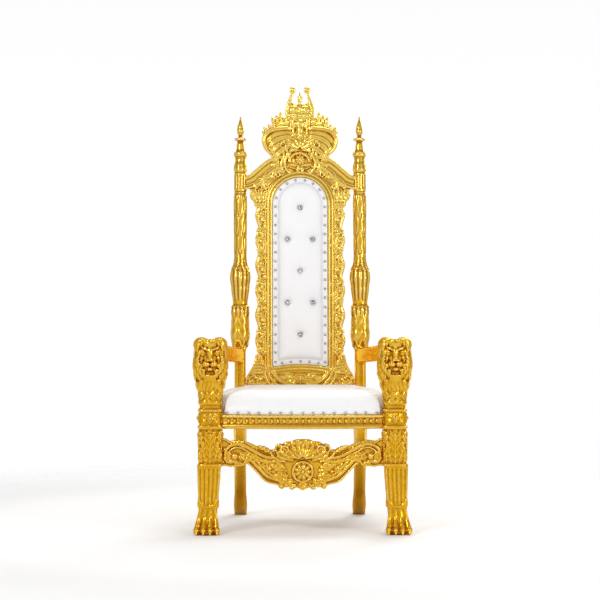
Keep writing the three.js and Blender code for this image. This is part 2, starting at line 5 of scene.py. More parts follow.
import bpy
import numpy as np
from mathutils import Matrix, Vector


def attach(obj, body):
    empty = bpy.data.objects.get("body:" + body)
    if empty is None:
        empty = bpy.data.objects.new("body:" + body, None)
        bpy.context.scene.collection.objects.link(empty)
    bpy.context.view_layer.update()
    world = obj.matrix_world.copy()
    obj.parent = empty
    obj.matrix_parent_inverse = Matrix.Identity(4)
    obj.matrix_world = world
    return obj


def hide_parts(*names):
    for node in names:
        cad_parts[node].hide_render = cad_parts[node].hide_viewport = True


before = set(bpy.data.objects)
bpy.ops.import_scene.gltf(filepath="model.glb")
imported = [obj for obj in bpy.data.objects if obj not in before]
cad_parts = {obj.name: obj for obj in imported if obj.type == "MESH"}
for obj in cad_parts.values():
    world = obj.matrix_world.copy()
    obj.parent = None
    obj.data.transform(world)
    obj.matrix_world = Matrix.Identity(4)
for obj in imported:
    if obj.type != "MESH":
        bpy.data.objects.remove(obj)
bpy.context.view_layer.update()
scene = bpy.context.scene
pi = math.pi
sidewards, backwards, upwards = np.eye(3)

throne = {
    "halfDepth": 380, "legX": 363, "legY": -290, "postX": 254, "postY": 225, "rakeStart": 560,
    "rake": math.radians(5), "railBottom": 412,
}
panel = {"half": 119, "bottom": 72, "top": 885, "rise": 12, "corner": 8}
leanCos, leanSin = math.cos(throne["rake"]), math.sin(throne["rake"])


# A shape is a pair: its points, and a list of arrays of faces with 3, 4 or more corners.
def turnedOut(points, faces):
    # the sum of the corner tetrahedra's volumes is negative when faces point inwards
    volume = 0.0
    for f in faces:
        for k in range(1, f.shape[1] - 1):
            a, b, c = points[f[:, 0]], points[f[:, k]], points[f[:, k + 1]]
            volume += float(np.einsum("ij,ij->", a, np.cross(b, c)))
    return (points, faces) if volume > 0 else (points, [f[:, ::-1] for f in faces])


def gridShape(grid, ends=True):
    # rings of points joined ring to ring; each end is a fan to its middle, or the last ring meets the first
    rows, cols = grid.shape[:2]
    points = grid.reshape(-1, 3)
    last = (rows - 1) * cols
    j = np.arange(cols)
    k = (j + 1) % cols
    step = np.arange(rows - 1)[:, None] * cols
    faces = [np.stack([step + j, step + k, step + cols + k, step + cols + j], -1).reshape(-1, 4)]
    if ends:
        low, high = len(points), len(points) + 1
        points = np.concatenate([points, [grid[0].mean(0), grid[-1].mean(0)]])
        faces.append(np.stack([np.full(cols, low), k, j], -1))
        faces.append(np.stack([np.full(cols, high), last + j, last + k], -1))
    else:
        faces.append(np.stack([last + j, last + k, k, j], -1))
    return turnedOut(points, faces)


def joined(shapes):
    points, faces, start = [], [], 0
    for p, fs in shapes:
        points.append(p)
        faces += [f + start for f in fs]
        start += len(p)
    return np.concatenate(points), faces


def bothSides(shapes):
    # the shapes, then their mirror images
    return list(shapes) + [(points * [-1, 1, 1], [f[:, ::-1] for f in faces]) for points, faces in shapes]


def mirroredLine(half):
    # an outline's right half, from the middle line back to it, with its left half
    half = np.array(half, float)
    return np.concatenate([half, (half[1:-1] * [-1, 1])[::-1]])


def objectOf(name, shapes):
    points, faces = joined(shapes)
    mesh = bpy.data.meshes.new(name)
    corners = np.concatenate([f.ravel() for f in faces]).astype(np.int32)
    totals = np.concatenate([np.full(len(f), f.shape[1]) for f in faces]).astype(np.int32)
    mesh.vertices.add(len(points))
    mesh.vertices.foreach_set("co", (points * 0.001).astype(np.float32).ravel())
    mesh.loops.add(len(corners))
    mesh.loops.foreach_set("vertex_index", corners)
    mesh.polygons.add(len(totals))
    mesh.polygons.foreach_set("loop_start", np.concatenate([[0], np.cumsum(totals)[:-1]]).astype(np.int32))
    mesh.polygons.foreach_set("loop_total", totals)
    mesh.update(calc_edges=True)
    mesh.validate()
    mesh.polygons.foreach_set("use_smooth", np.ones(len(totals), bool))
    made = bpy.data.objects.new(name, mesh)
    scene.collection.objects.link(made)
    return made


def readAll(items, key, kind=np.float32, width=1):
    # one property of every item, as rows when it has a width
    values = np.empty(len(items) * width, kind)
    items.foreach_get(key, values)
    return values.reshape(-1, width) if width > 1 else values


def pointsOf(made):
    return readAll(made.data.vertices, "co", width=3).astype(float) * 1000


def setPoints(made, points):
    made.data.vertices.foreach_set("co", (points * 0.001).astype(np.float32).ravel())
    made.data.update()


def trianglesOf(made):
    return sum(len(p.vertices) - 2 for p in made.data.polygons)


def modified(made, kind, **settings):
    # the object's mesh with this modifier worked in, and none left on it
    modifier = made.modifiers.new(kind, kind)
    for name, value in settings.items():
        setattr(modifier, name, value)
    bpy.context.view_layer.update()
    mesh = bpy.data.meshes.new_from_object(made.evaluated_get(bpy.context.evaluated_depsgraph_get()))
    made.modifiers.clear()
    old = made.data
    made.data = mesh
    bpy.data.meshes.remove(old)
    mesh.name = made.name
    mesh.polygons.foreach_set("use_smooth", np.ones(len(mesh.polygons), bool))
    return made


def carvedOf(name, shapes, voxel):
    # overlapping shapes become one skin of small squares, eased like gesso over carving
    made = modified(objectOf(name, shapes), "REMESH", mode="VOXEL", voxel_size=voxel * 0.001)
    return modified(made, "SMOOTH", factor=0.5, iterations=1)


def thinned(made, most):
    # flat stretches give up their small squares until at most this many triangles are left; the marks stay
    # on the points
    total = trianglesOf(made)
    if total > most:
        modified(made, "DECIMATE", ratio=most / total)
    print(made.name, "triangles", trianglesOf(made))


def bothHands(right):
    # the right object, and its mirror image under the left one's name
    left = bpy.data.objects.new(right.name.replace("right", "left"), right.data.copy())
    scene.collection.objects.link(left)
    left.data.transform(Matrix.Scale(-1, 4, (1, 0, 0)))
    left.data.flip_normals()
    left.data.update()
    return (right, "right"), (left, "left")


# settings for the painted shade in hollows and crowded places, and the painted highlight on raised edges
recess = {"cell": 5.0, "reach": 7.0, "blur": 2, "rounds": 10, "grooveDepth": 0.9, "edgeHeight": 0.8,
          "crowdFull": 0.9, "crowdFree": 0.38, "weight": 0.75}


def marked(made, name, values):
    # a mark is one value for each point, which the materials read
    made.data.attributes.new(name, "FLOAT", "POINT").data.foreach_set("value", values.astype(np.float32))


def markRecess(made, share=1.0):
    # two marks of painted light for the gilding. recess: the surface met just above a point, counted in
    # cells, plus how far the point lies under its smoothed neighbourhood, painted as shade; edge: how far it
    # stands over it, painted as a highlight
    mesh = made.data
    points = pointsOf(made)
    count = len(points)
    cell = recess["cell"]
    normals = readAll(mesh.vertex_normals, "vector", width=3)
    totals = readAll(mesh.polygons, "loop_total", np.int32)
    corners = readAll(mesh.loops, "vertex_index", np.int32)
    held = np.bincount(corners, np.repeat(readAll(mesh.polygons, "area") / totals, totals), count) * 1e6
    low = points.min(0) - 4 * cell
    size = ((points.max(0) - low) / cell).astype(int) + 6
    flat = np.ravel_multi_index(((points - low) / cell).astype(int).T, size)
    density = np.bincount(flat, held, int(np.prod(size))).reshape(size)
    for _ in range(recess["blur"]):
        for axis in range(3):
            density = (np.roll(density, 1, axis) + 2 * density + np.roll(density, -1, axis)) / 4
    ahead = (points + normals * recess["reach"] - low) / cell - 0.5
    base = np.clip(np.floor(ahead).astype(int), 0, size - 2)
    part = ahead - base
    total = np.zeros(count)
    for corner in np.ndindex(2, 2, 2):
        weight = np.prod(np.where(corner, part, 1 - part), 1)
        total += weight * density[tuple((base + corner).T)]
    crowd = np.clip(total / cell ** 2 / recess["crowdFull"] - recess["crowdFree"], 0, 1)
    a, b = readAll(mesh.edges, "vertices", np.int32, 2).T
    ends, others = np.concatenate([a, b]), np.concatenate([b, a])
    links = np.maximum(np.bincount(ends, minlength=count), 1)
    smooth = points.copy()
    for _ in range(recess["rounds"]):
        near = np.stack([np.bincount(ends, smooth[others, k], count) for k in range(3)], 1) / links[:, None]
        smooth = (smooth + near) / 2
    sunk = np.einsum("ij,ij->i", smooth - points, normals)
    sunk -= np.median(sunk)
    groove = np.clip(sunk / recess["grooveDepth"], 0, 1)
    # painted shade where other surface crowds in front of a point or it lies in a groove; painted highlight
    # where it stands proud
    marked(made, "recess", share * np.clip(recess["weight"] * crowd + recess["weight"] * groove, 0, 1))
    marked(made, "edge", np.clip(-sunk / recess["edgeHeight"], 0, 1) * (1 - crowd))


def tonedBy(made, share, more, low, high):
    # the recess mark's painted shade times share, plus more painted shade, eased in from the height high
    # down to low
    marks = made.data.attributes["recess"].data
    depth = smoothStep(high, low, pointsOf(made)[:, 2])
    values = np.clip(readAll(marks, "value") * (1 + (share - 1) * depth) + more * depth, 0, 1)
    marks.foreach_set("value", values.astype(np.float32))


def finished(made, slotName, material, *nodes):
    made.data.materials.clear()
    made.data.materials.append(material)
    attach(made, "root")
    if nodes:
        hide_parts(*nodes)


def carvedPiece(name, shapes, sizes, node):
    made = carvedOf(name, shapes, sizes["voxel"])
    markRecess(made)
    thinned(made, sizes["most"])
    finished(made, "gold_leaf", gold, node)


def bump(x, middle, width):
    return np.exp(-(((x - middle) / width) ** 2))


def smoothStep(low, high, x):
    share = np.clip((x - low) / (high - low), 0, 1)
    return share * share * (3 - 2 * share)


def readRows(rows, places):
    # rows of [place, values...] read at these places, eased from row to row; one column for each value
    table = np.array(rows, float)
    row = np.clip(np.searchsorted(table[:, 0], places, side="right") - 1, 0, len(table) - 2)
    low, high = table[row, 0], table[row + 1, 0]
    places = low + (high - low) * smoothStep(low, high, places)
    return [np.interp(places, table[:, 0], values)[:, None] for values in table[:, 1:].T]


def alongShare(count, places, values):
    # values given at a few shares of a line's length, read at its points
    return np.interp(np.linspace(0, 1, count), places, values)


def circle(count):
    return np.linspace(0, 2 * pi, count, endpoint=False)[None]


def ovalPoint(angle, a, b, power):
    # a point at this angle on an oval of half sizes a and b; power 2 is an ellipse and more is squarer
    c, s = np.cos(angle), np.sin(angle)
    reach = (np.abs(c) ** power + np.abs(s) ** power) ** (-1 / power)
    return a * reach * c, b * reach * s


# Carving in a plane. Points are (across, up, out), where out is towards the sitter's side.
def headingOf(path):
    step = np.gradient(path, axis=0)
    return np.arctan2(step[:, 1], step[:, 0])


def leftOf(heading):
    return np.stack([-np.sin(heading), np.cos(heading)], 1)


def smoothLine(points, count=60):
    # a curve through the points: each stretch is a cubic whose ends share the chord of their neighbours
    p = np.array(points, float)
    p = np.concatenate([[2 * p[0] - p[1]], p, [2 * p[-1] - p[-2]]])
    place = np.linspace(0, len(points) - 1 - 1e-6, count)
    i = place.astype(int)
    t = (place - i)[:, None]
    a, b, c, d = p[i], p[i + 1], p[i + 2], p[i + 3]
    return 0.5 * (2 * b + (c - a) * t + (2 * a - 5 * b + 4 * c - d) * t ** 2
                  + (3 * b - a - 3 * c + d) * t ** 3)


def curlPath(start, angle, length, turn, power, count):
    # a walk from start: the heading turns by turn * share ** power on the way
    share = np.linspace(0, 1, count)
    heading = np.radians(angle + turn * share ** power)
    step = np.stack([np.cos(heading), np.sin(heading)], 1) * length / (count - 1)
    path = np.array(start, float) + np.concatenate([[[0, 0]], np.cumsum((step[1:] + step[:-1]) / 2, 0)])
    return path, heading


def ringsAlong(path, heading, across, forward, out):
    # rings of points beside a path: across to its left, forward along it, out of the plane
    along = np.stack([np.cos(heading), np.sin(heading)], 1)[:, None]
    flat = path[:, None] + leftOf(heading)[:, None] * across[..., None] + along * forward[..., None]
    return np.concatenate([flat, out[..., None]], 2)


def leafShape(start, angle, length, width, lobes, turn=0, out=0, lift=0.18, thick=8, cols=13):
    # a lobed blade: a pointed outline with notches, a midrib, ridges that sweep forward to the lobes,
    # a domed section, and a tip that lifts out by the cube of its share of the length
    rows = max(12, int(lobes * 6) + 6)
    path, heading = curlPath(start, angle, length, turn, 1.6, rows)
    v = np.linspace(0, 1, rows)[:, None]
    u = np.linspace(-1, 1, cols)[None]
    body = np.sin(pi * (0.13 + 0.84 * v ** 0.85))
    notch = np.abs(np.sin(pi * lobes * v + 0.5)) ** 0.8
    across = u * (width / 2 * body * (0.66 + 0.34 * notch))
    forward = np.abs(u) ** 1.7 * width * 0.2 * body
    rise = np.sqrt(np.clip(1 - u ** 2, 0, 1))
    ridge = np.cos(2 * pi * (lobes * v - 0.8 * np.abs(u))) * np.abs(u) * (1 - np.abs(u) ** 4)
    groove = 0.35 * bump(u, 0, 0.16) * (1 - v)
    curl = lift * length * v ** 3
    front = out + curl + thick * (0.55 * rise * body + 0.26 * ridge + groove)
    back = out + curl - thick * 0.5 * np.ones_like(front)
    rings = [np.concatenate([near, far[:, -2:0:-1]], 1)
             for near, far in ((across, across), (forward, forward), (front, back))]
    return gridShape(ringsAlong(path, heading, *rings))


def leaves(rows, **rest):
    # rows of x, up, angle, length, width, then lobes, turn and out where they differ
    return [leafShape(row[:2], *row[2:], **rest) for row in rows]


def stemShape(path, half, height, out, sides=12, heading=None):
    # a bar along a path with a rounded section and a groove down its front
    heading = headingOf(path) if heading is None else heading
    angle = circle(sides)
    half, height = (np.broadcast_to(v, len(path))[:, None] for v in (half, height))
    across = half * np.cos(angle)
    dip = 0.3 * bump(np.cos(angle), 0, 0.3) * (np.sin(angle) > 0)
    rise = out + height * np.sin(angle) * (1 - dip)
    return gridShape(ringsAlong(path, heading, across, np.zeros_like(across), rise))


def ringShape(middle, radius, half, height, out, count, sides=12):
    path, heading = curlPath((middle[0], middle[1] - radius), 0, 2 * pi * radius, 360, 1.0, count)
    return stemShape(path, half, height, out, sides, heading)


def featherShape(start, angle, length, width, thick):
    # a blade that keeps its width for two thirds of its length, and then draws in to a point
    path, heading = curlPath(start, angle, length, -6, 1.6, 30)
    share = np.linspace(0, 1, 30)
    half = width / 2 * (0.8 + 0.2 * share) * (1 - np.clip((share - 0.66) / 0.345, 0, 1) ** 1.6)
    return stemShape(path, half, thick * (half / half.max()) ** 0.5, 0, heading=heading)


def scrolls(rows):
    # stems that wind up faster and faster, thinner towards their ends, where they have round eyes
    shapes = []
    for x, up, angle, length, turn, thick, out, power in rows:
        path, heading = curlPath((x, up), angle, length, turn, power, 40)
        half = thick / 2 * (1 - 0.55 * np.linspace(0, 1, 40))
        shapes += [stemShape(path, half, half * 1.25, out, heading=heading),
                   beadShape(path[-1], thick * 0.75, out, 1.0)]
    return shapes


def beadShape(place, radius, out, flat):
    # an egg in the plane, with its middle at out
    turn = circle(12)
    tilt = np.linspace(0.12, pi - 0.12, 7)[:, None]
    return gridShape(np.stack([
        place[0] + radius * np.sin(tilt) * np.cos(turn), place[1] + radius * np.sin(tilt) * np.sin(turn),
        out + radius * flat * np.cos(tilt) + 0 * turn], -1))


def flowerShape(place, radius, petals, out, height):
    # rings around a middle: the reach swells at each petal, and the height rises and falls from eye to edge
    angle = circle(petals * 8)
    share = np.linspace(0.02, 1, 12)[:, None]
    swell = np.abs(np.cos(petals * angle / 2)) ** 0.6
    reach = radius * share * (1 - (0.26 - 0.26 * swell) * share ** 2)
    rise = height * (np.sin(pi * share ** 0.8) * (0.55 + 0.45 * swell) + 1.2 * bump(share, 0, 0.2))
    front = np.stack([place[0] + reach * np.cos(angle), place[1] + reach * np.sin(angle), out + rise], -1)
    return gridShape(np.concatenate([front, front[-1:] * [1, 1, 0] + [0, 0, out - height]]))


def fanShape(place, radius, ribs, spread, out, height, start):
    # a shell that opens upwards: ribs run out from its foot to round lobes, and the whole is domed
    angle = np.radians(90 + spread * np.linspace(-0.5, 0.5, ribs * 8 + 1))[None]
    share = np.linspace(start, 1, 14)[:, None]
    rib = np.abs(np.sin(ribs * pi * np.linspace(0, 1, ribs * 8 + 1)))[None] ** 0.7
    reach = radius * share * (0.88 + 0.12 * rib)
    rise = out + height * np.sin(pi * (0.15 + 0.75 * share)) * (0.45 + 0.55 * rib)
    front = np.stack([place[0] + reach * np.cos(angle), place[1] + reach * np.sin(angle), rise], -1)
    back = front * [1, 1, 0] + [0, 0, out - height * 0.7]
    return gridShape(np.concatenate([front, back[:, ::-1]], 1))


def slabShape(outline, back, front):
    # a flat board: its outline at two depths, closed by one face on each side
    outline = np.array(outline, float)
    count = len(outline)
    points = np.concatenate([np.c_[outline, np.full(count, depth)] for depth in (back, front)])
    j = np.arange(count)
    k = (j + 1) % count
    return turnedOut(points, [np.stack([j, k, k + count, j + count], -1), j[None, ::-1], j[None] + count])


def toBack(shape):
    # from the plane of carving to the back, which leans about the line through the posts at seat height
    x, up, out = shape[0].T
    y = throne["postY"] - out * leanCos + up * leanSin
    z = throne["rakeStart"] + up * leanCos + out * leanSin
    return turnedOut(np.stack([x, y, z], -1), shape[1])


def fromBack(points):
    # millimetres in the row's frame to the back's own: across, up the lean, out
    y, z = points[:, 1] - throne["postY"], points[:, 2] - throne["rakeStart"]
    return np.stack([points[:, 0], y * leanSin + z * leanCos, -(y * leanCos - z * leanSin)], 1)


def ellipsoid(place, radii, tilt=(0, 0, 0), rows=14, cols=20):
    # a stretched ball, turned by tilt degrees about X, Y and Z
    turn = circle(cols)
    fall = np.linspace(0.06, pi - 0.06, rows)[:, None]
    ball = np.stack([np.sin(fall) * np.cos(turn), np.sin(fall) * np.sin(turn), np.cos(fall) + 0 * turn], -1)
    x, y, z = (Matrix.Rotation(math.radians(a), 3, axis) for a, axis in zip(tilt, "XYZ"))
    return gridShape(ball * np.array(radii, float) @ np.array(z @ y @ x).T + np.array(place, float))


def lockShape(path, radius, outward, flat=0.7, strands=3):
    # a lock of hair: rings along a curve in space, wide across and thin outward, with strands cut into it
    along = np.gradient(path, axis=0)
    along /= np.linalg.norm(along, axis=1, keepdims=True)
    side = np.cross(along, outward)
    side /= np.linalg.norm(side, axis=1, keepdims=True) + 1e-9
    out = np.cross(side, along)
    angle = circle(14)
    groove = 1 - 0.16 * np.abs(np.cos(strands * angle)) ** 4
    radius = radius[:, None]
    rings = path[:, None] + side[:, None] * (radius * groove * np.cos(angle))[..., None] \
        + out[:, None] * (radius * flat * groove * np.sin(angle))[..., None]
    return gridShape(rings)


print("materials")
finish = {
    "goldBright": (0.82, 0.585, 0.115), "goldWarm": (0.71, 0.37, 0.008), "goldAmber": (0.95, 0.58, 0.014),
    # goldWornAndHighlight is paler leaf for the painted highlight on raised edges and for random pale
    # specks; goldDeep is the painted shade in hollows
    "goldWornAndHighlight": (0.95, 0.74, 0.25), "goldDeep": (0.36, 0.15, 0.003), "goldTint": (1.0, 0.74, 0.34, 1),
    # vinylDeep is the painted shade of the back pad's valley and button dimples
    "vinyl": (0.87, 0.87, 0.88), "vinylShade": (0.80, 0.80, 0.825), "vinylDeep": (0.63, 0.62, 0.665),
    "silver": (0.50, 0.51, 0.54), "silverDull": (0.36, 0.37, 0.40),
    # crystalDark is the painted dark reflection in the button facets
    "crystal": (0.78, 0.81, 0.86), "crystalDark": (0.05, 0.055, 0.07),
    "board": (0.42, 0.28, 0.15), "boardDark": (0.25, 0.15, 0.075), "floor": (0.96, 0.96, 0.96),
}


class Wire:
    # a node's output that can be used in sums
    def __init__(self, surface, socket):
        self.surface = surface
        self.socket = socket

    def sum(self, operation, *values, clamp=False):
        return self.surface.node("ShaderNodeMath", {"operation": operation, "use_clamp": clamp},
                                 dict(enumerate(values)))

    def kept(self):
        # held between 0 and 1
        return self.sum("ADD", self, 0.0, clamp=True)


for sign, operation in (("add", "ADD"), ("sub", "SUBTRACT"), ("mul", "MULTIPLY")):
    setattr(Wire, "__%s__" % sign, lambda self, other, what=operation: self.sum(what, self, other))
    setattr(Wire, "__r%s__" % sign, lambda self, other, what=operation: self.sum(what, other, self))


class Surface:
    # a node tree with its shader and its place, and the one way to add a node to it
    def __init__(self, owner, shader="BsdfPrincipled", output="OutputMaterial", place="Object"):
        self.owner = owner
        owner.use_nodes = True
        self.tree = owner.node_tree
        self.tree.nodes.clear()
        self.shader = self.tree.nodes.new("ShaderNode" + shader)
        self.tree.links.new(self.shader.outputs[0], self.tree.nodes.new("ShaderNode" + output).inputs[0])
        self.place = self.node("ShaderNodeTexCoord", output=place)

    def node(self, kind, settings=None, sockets=None, output=0):
        made = self.tree.nodes.new(kind)
        for name, value in (settings or {}).items():
            setattr(made, name, value)
        for name, value in (sockets or {}).items():
            self.feed(made.inputs[name], value)
        return Wire(self, made.outputs[output])

    def feed(self, socket, value):
        if isinstance(value, Wire):
            self.tree.links.new(value.socket, socket)
        elif isinstance(value, tuple) and len(value) == 3:
            socket.default_value = (*value, 1.0)
        else:
            socket.default_value = value

    def colours(self, share, low, high):
        # the colour low where share is 0 and high where it is 1
        return self.node("ShaderNodeMix", {"data_type": "RGBA"}, {0: share, 6: low, 7: high}, output=2)

    def noise(self, scale, detail=2.0):
        sockets = {"Vector": self.place, "Scale": scale, "Detail": detail}
        return self.node("ShaderNodeTexNoise", None, sockets)

    def mark(self, name):
        return self.node("ShaderNodeAttribute", {"attribute_name": name}, output="Fac")

    def axis(self, name):
        return self.node("ShaderNodeSeparateXYZ", None, {0: self.place}, output=name)

    def faded(self, value, start, end, first, last):
        # first up to start and last from end on, eased between them
        return self.node("ShaderNodeMapRange", {"interpolation_type": "SMOOTHSTEP"}, {
            "Value": value, "From Min": start, "From Max": end, "To Min": first, "To Max": last})

    def raised(self, height, distance, strength, under=None):
        sockets = {"Height": height, "Distance": distance, "Strength": strength}
        if under is not None:
            sockets["Normal"] = under
        return self.node("ShaderNodeBump", None, sockets)

    def shade(self, **values):
        # spaces in a socket's name are written as underscores
        for name, value in values.items():
            self.feed(self.shader.inputs[name.replace("_", " ")], value)
        return self.owner


def newSurface(name):
    return Surface(bpy.data.materials.new(name))


def goldSurface(name, wear=1.0, warmer=0.0, low="goldWarm"):
    # bright leaf, warmer lower down; the edge mark paints a highlight on raised edges and fine specks pale
    # it at random; the recess mark paints shade in hollows and slow noise deepens it; roughness = 0.2 + 0.22
    # * recess + 0.2 * wear * (cloud - 0.5)
    s = newSurface(name)
    cloud = s.noise(26.0, 3.0)
    speck = s.noise(170.0)
    grain = s.noise(620.0)
    deep = s.mark("recess")
    warm = (1.0 + warmer - s.axis("Z") * 0.6 + (cloud - 0.5) * 0.6 * wear).kept()
    body = s.colours(warm, finish["goldBright"], finish[low])
    # painted highlight: paler on raised edges by the edge mark, and paler specks at random
    body = s.colours((s.mark("edge") * 0.75 + (speck - 0.6) * 1.2 * wear).kept(), body, finish["goldWornAndHighlight"])
    # painted shade: darker in hollows by the recess mark, and darker at random where the slow noise is high
    body = s.colours((deep * 1.1 + (cloud - 0.5) * 0.3 * wear).kept(), body, finish["goldDeep"])
    bumps = s.raised(grain, 0.0003, 0.25 * wear, s.raised(speck, 0.0008, 0.2 * wear))
    return s.shade(Base_Color=body, Roughness=(0.2 + deep * 0.22 + (cloud - 0.5) * 0.2 * wear).kept(),
                   Normal=bumps, Metallic=0.88, Specular_IOR_Level=0.6, Specular_Tint=finish["goldTint"],
                   Coat_Weight=0.03, Coat_Roughness=0.12)


def vinylSurface():
    # near white; shade = cloud noise * 0.6, then painted shade from the recess mark, which lies along the
    # nails and round the buttons;
    # grain = cells about 1.3 mm wide with finer noise, over a slow ripple; roughness = 0.36 + 0.14 * cloud +
    # fine noise
    s = newSurface("white_vinyl")
    cloud = s.noise(14.0, 3.0)
    fine = s.noise(900.0)
    cells = s.node("ShaderNodeTexVoronoi", None, {"Vector": s.place, "Scale": 780.0})
    body = s.colours((cloud * 0.6).kept(), finish["vinyl"], finish["vinylShade"])
    body = s.colours(s.mark("recess"), body, finish["vinylDeep"])
    bumps = s.raised(cells + fine * 0.5, 0.00022, 0.35, s.raised(cloud, 0.002, 0.15))
    return s.shade(Base_Color=body, Roughness=(0.36 + cloud * 0.14 + (fine - 0.5) * 0.08).kept(),
                   Normal=bumps, Coat_Weight=0.12, Coat_Roughness=0.25)


def silverSurface():
    # bright plated heads, duller where the cloud noise is high; roughness = 0.16 + 0.16 * cloud
    s = newSurface("silver_plate")
    cloud = s.noise(120.0)
    return s.shade(Base_Color=s.colours(cloud, finish["silver"], finish["silverDull"]), Metallic=1.0,
                   Roughness=(0.16 + cloud * 0.16).kept(), Normal=s.raised(cloud, 0.0003, 0.3))


def crystalSurface():
    # cut glass over a silver back: mostly mirror, with painted dark reflections in the facets where 5 *
    # (noise - 0.42) is high;
    # roughness = 0.04 + 0.06 * noise
    s = newSurface("cut_crystal")
    cloud = s.noise(210.0, 1.0)
    body = s.colours(((cloud - 0.42) * 5.0).kept(), finish["crystal"], finish["crystalDark"])
    return s.shade(Base_Color=body, Metallic=0.75, Roughness=(0.04 + cloud * 0.06).kept(), Coat_Weight=1.0,
                   Coat_Roughness=0.02, Normal=s.raised(cloud, 0.0002, 0.3))


def boardSurface():
    # grain = noise stretched 15 to 1 along X; the colour darkens by 2.2 * (grain - 0.35) and a little cloud;
    # roughness = 0.62 + 0.2 * grain; the bump follows the grain
    s = newSurface("plain_board")
    cloud = s.noise(9.0)
    stretched = s.node("ShaderNodeMapping", None, {"Vector": s.place, "Scale": Vector((6.0, 90.0, 90.0))})
    grain = s.node("ShaderNodeTexNoise", None, {
        "Vector": stretched, "Scale": 1.0, "Detail": 4.0, "Roughness": 0.6})
    dark = ((grain - 0.35) * 2.2 + (cloud - 0.5) * 0.4).kept()
    return s.shade(Base_Color=s.colours(dark, finish["board"], finish["boardDark"]),
                   Roughness=(0.62 + grain * 0.2).kept(), Normal=s.raised(grain, 0.0008, 0.5))


gold = goldSurface("gold_leaf")
smoothGold = goldSurface("gold_smooth", 0.2, 0.5, "goldAmber")
postGold = goldSurface("gold_post", 1.0, 0.3)
legGold = goldSurface("gold_legs", 1.2, 0.24)
paleGold = goldSurface("gold_back", 1.0, -0.22)
vinyl = vinylSurface()
silver = silverSurface()
crystal = crystalSurface()
board = boardSurface()


print("camera, lights and floor")
studio = {
    "cameraPlace": (-0.135, -7.442, 0.918), "cameraTurn": 1.0, "lens": 108.9,
    "lights": [  # name, place, aim, size, power, colour
        ("key", (-2.4, -3.4, 3.3), (0, 0, 1.1), 1.0, 54, (1, 0.98, 0.95)),
        ("fill", (3.1, -2.7, 1.9), (0, 0, 0.9), 1.2, 28, (0.97, 0.98, 1)),
        ("top", (0.3, 0.6, 3.9), (0, 0, 0.8), 1.4, 41, (1, 1, 1)),
        ("back", (1.6, 3.2, 2.6), (0, 0, 1.1), 1.5, 40, (1, 1, 1))],
    "skyHigh": 0.62, "skyLow": 1.0, "skySide": 0.72, "floorFade": (1.3, 3.0),
    "floorRings": (20.0, 1000.0, 2000.0, 3200.0), "floorSides": 96,
}


def placed(name, data, place, turn):
    made = bpy.data.objects.new(name, data)
    made.location = place
    made.rotation_euler = turn
    scene.collection.objects.link(made)
    return made


def studioSet():
    lens = bpy.data.cameras.new("camera")
    lens.lens = studio["lens"]
    lens.sensor_width = 36
    lens.clip_end = 60
    turn = (math.radians(90), 0, math.radians(-studio["cameraTurn"]))
    scene.camera = placed("camera", lens, studio["cameraPlace"], turn)
    for name, place, aim, size, power, colour in studio["lights"]:
        light = bpy.data.lights.new(name, "AREA")
        light.size = size
        light.energy = power
        light.color = colour
        placed(name, light, place, (Vector(aim) - Vector(place)).to_track_quat("-Z", "Y").to_euler())
    # the sky is bright near the horizon, dimmer overhead and to both sides: strength = fall of the
    # direction's height from 0.1 to 0.6, times the fall of its sideways part from 0.5 to 0.9
    sky = Surface(bpy.data.worlds.new("studio"), "Background", "OutputWorld", "Generated")
    aside = sky.axis("X")
    strength = sky.faded(sky.axis("Z"), 0.1, 0.6, studio["skyLow"], studio["skyHigh"]) \
        * sky.faded(aside.sum("ABSOLUTE", aside), 0.5, 0.9, 1.0, studio["skySide"])
    scene.world = sky.shade(Color=(1, 1, 1, 1), Strength=strength)
    # the floor is a pale disc that fades out: alpha = 1 - rise of the distance from the middle
    turn = circle(studio["floorSides"])
    far = np.array(studio["floorRings"])[:, None]
    ring = np.stack([far * np.cos(turn), far * np.sin(turn), np.full((len(far), turn.size), -0.5)], -1)
    ground = objectOf("floor", [gridShape(np.concatenate([ring, ring[::-1] - [0, 0, 2]]))])
    s = newSurface("pale_floor")
    distance = s.node("ShaderNodeVectorMath", {"operation": "LENGTH"}, {0: s.place}, output="Value")
    ground.data.materials.append(s.shade(Base_Color=finish["floor"], Roughness=0.7, Specular_IOR_Level=0.2,
                                         Alpha=s.faded(distance, *studio["floorFade"], 1.0, 0.0)))
    scene.view_settings.view_transform = "Standard"
    scene.view_settings.look = "None"


studioSet()


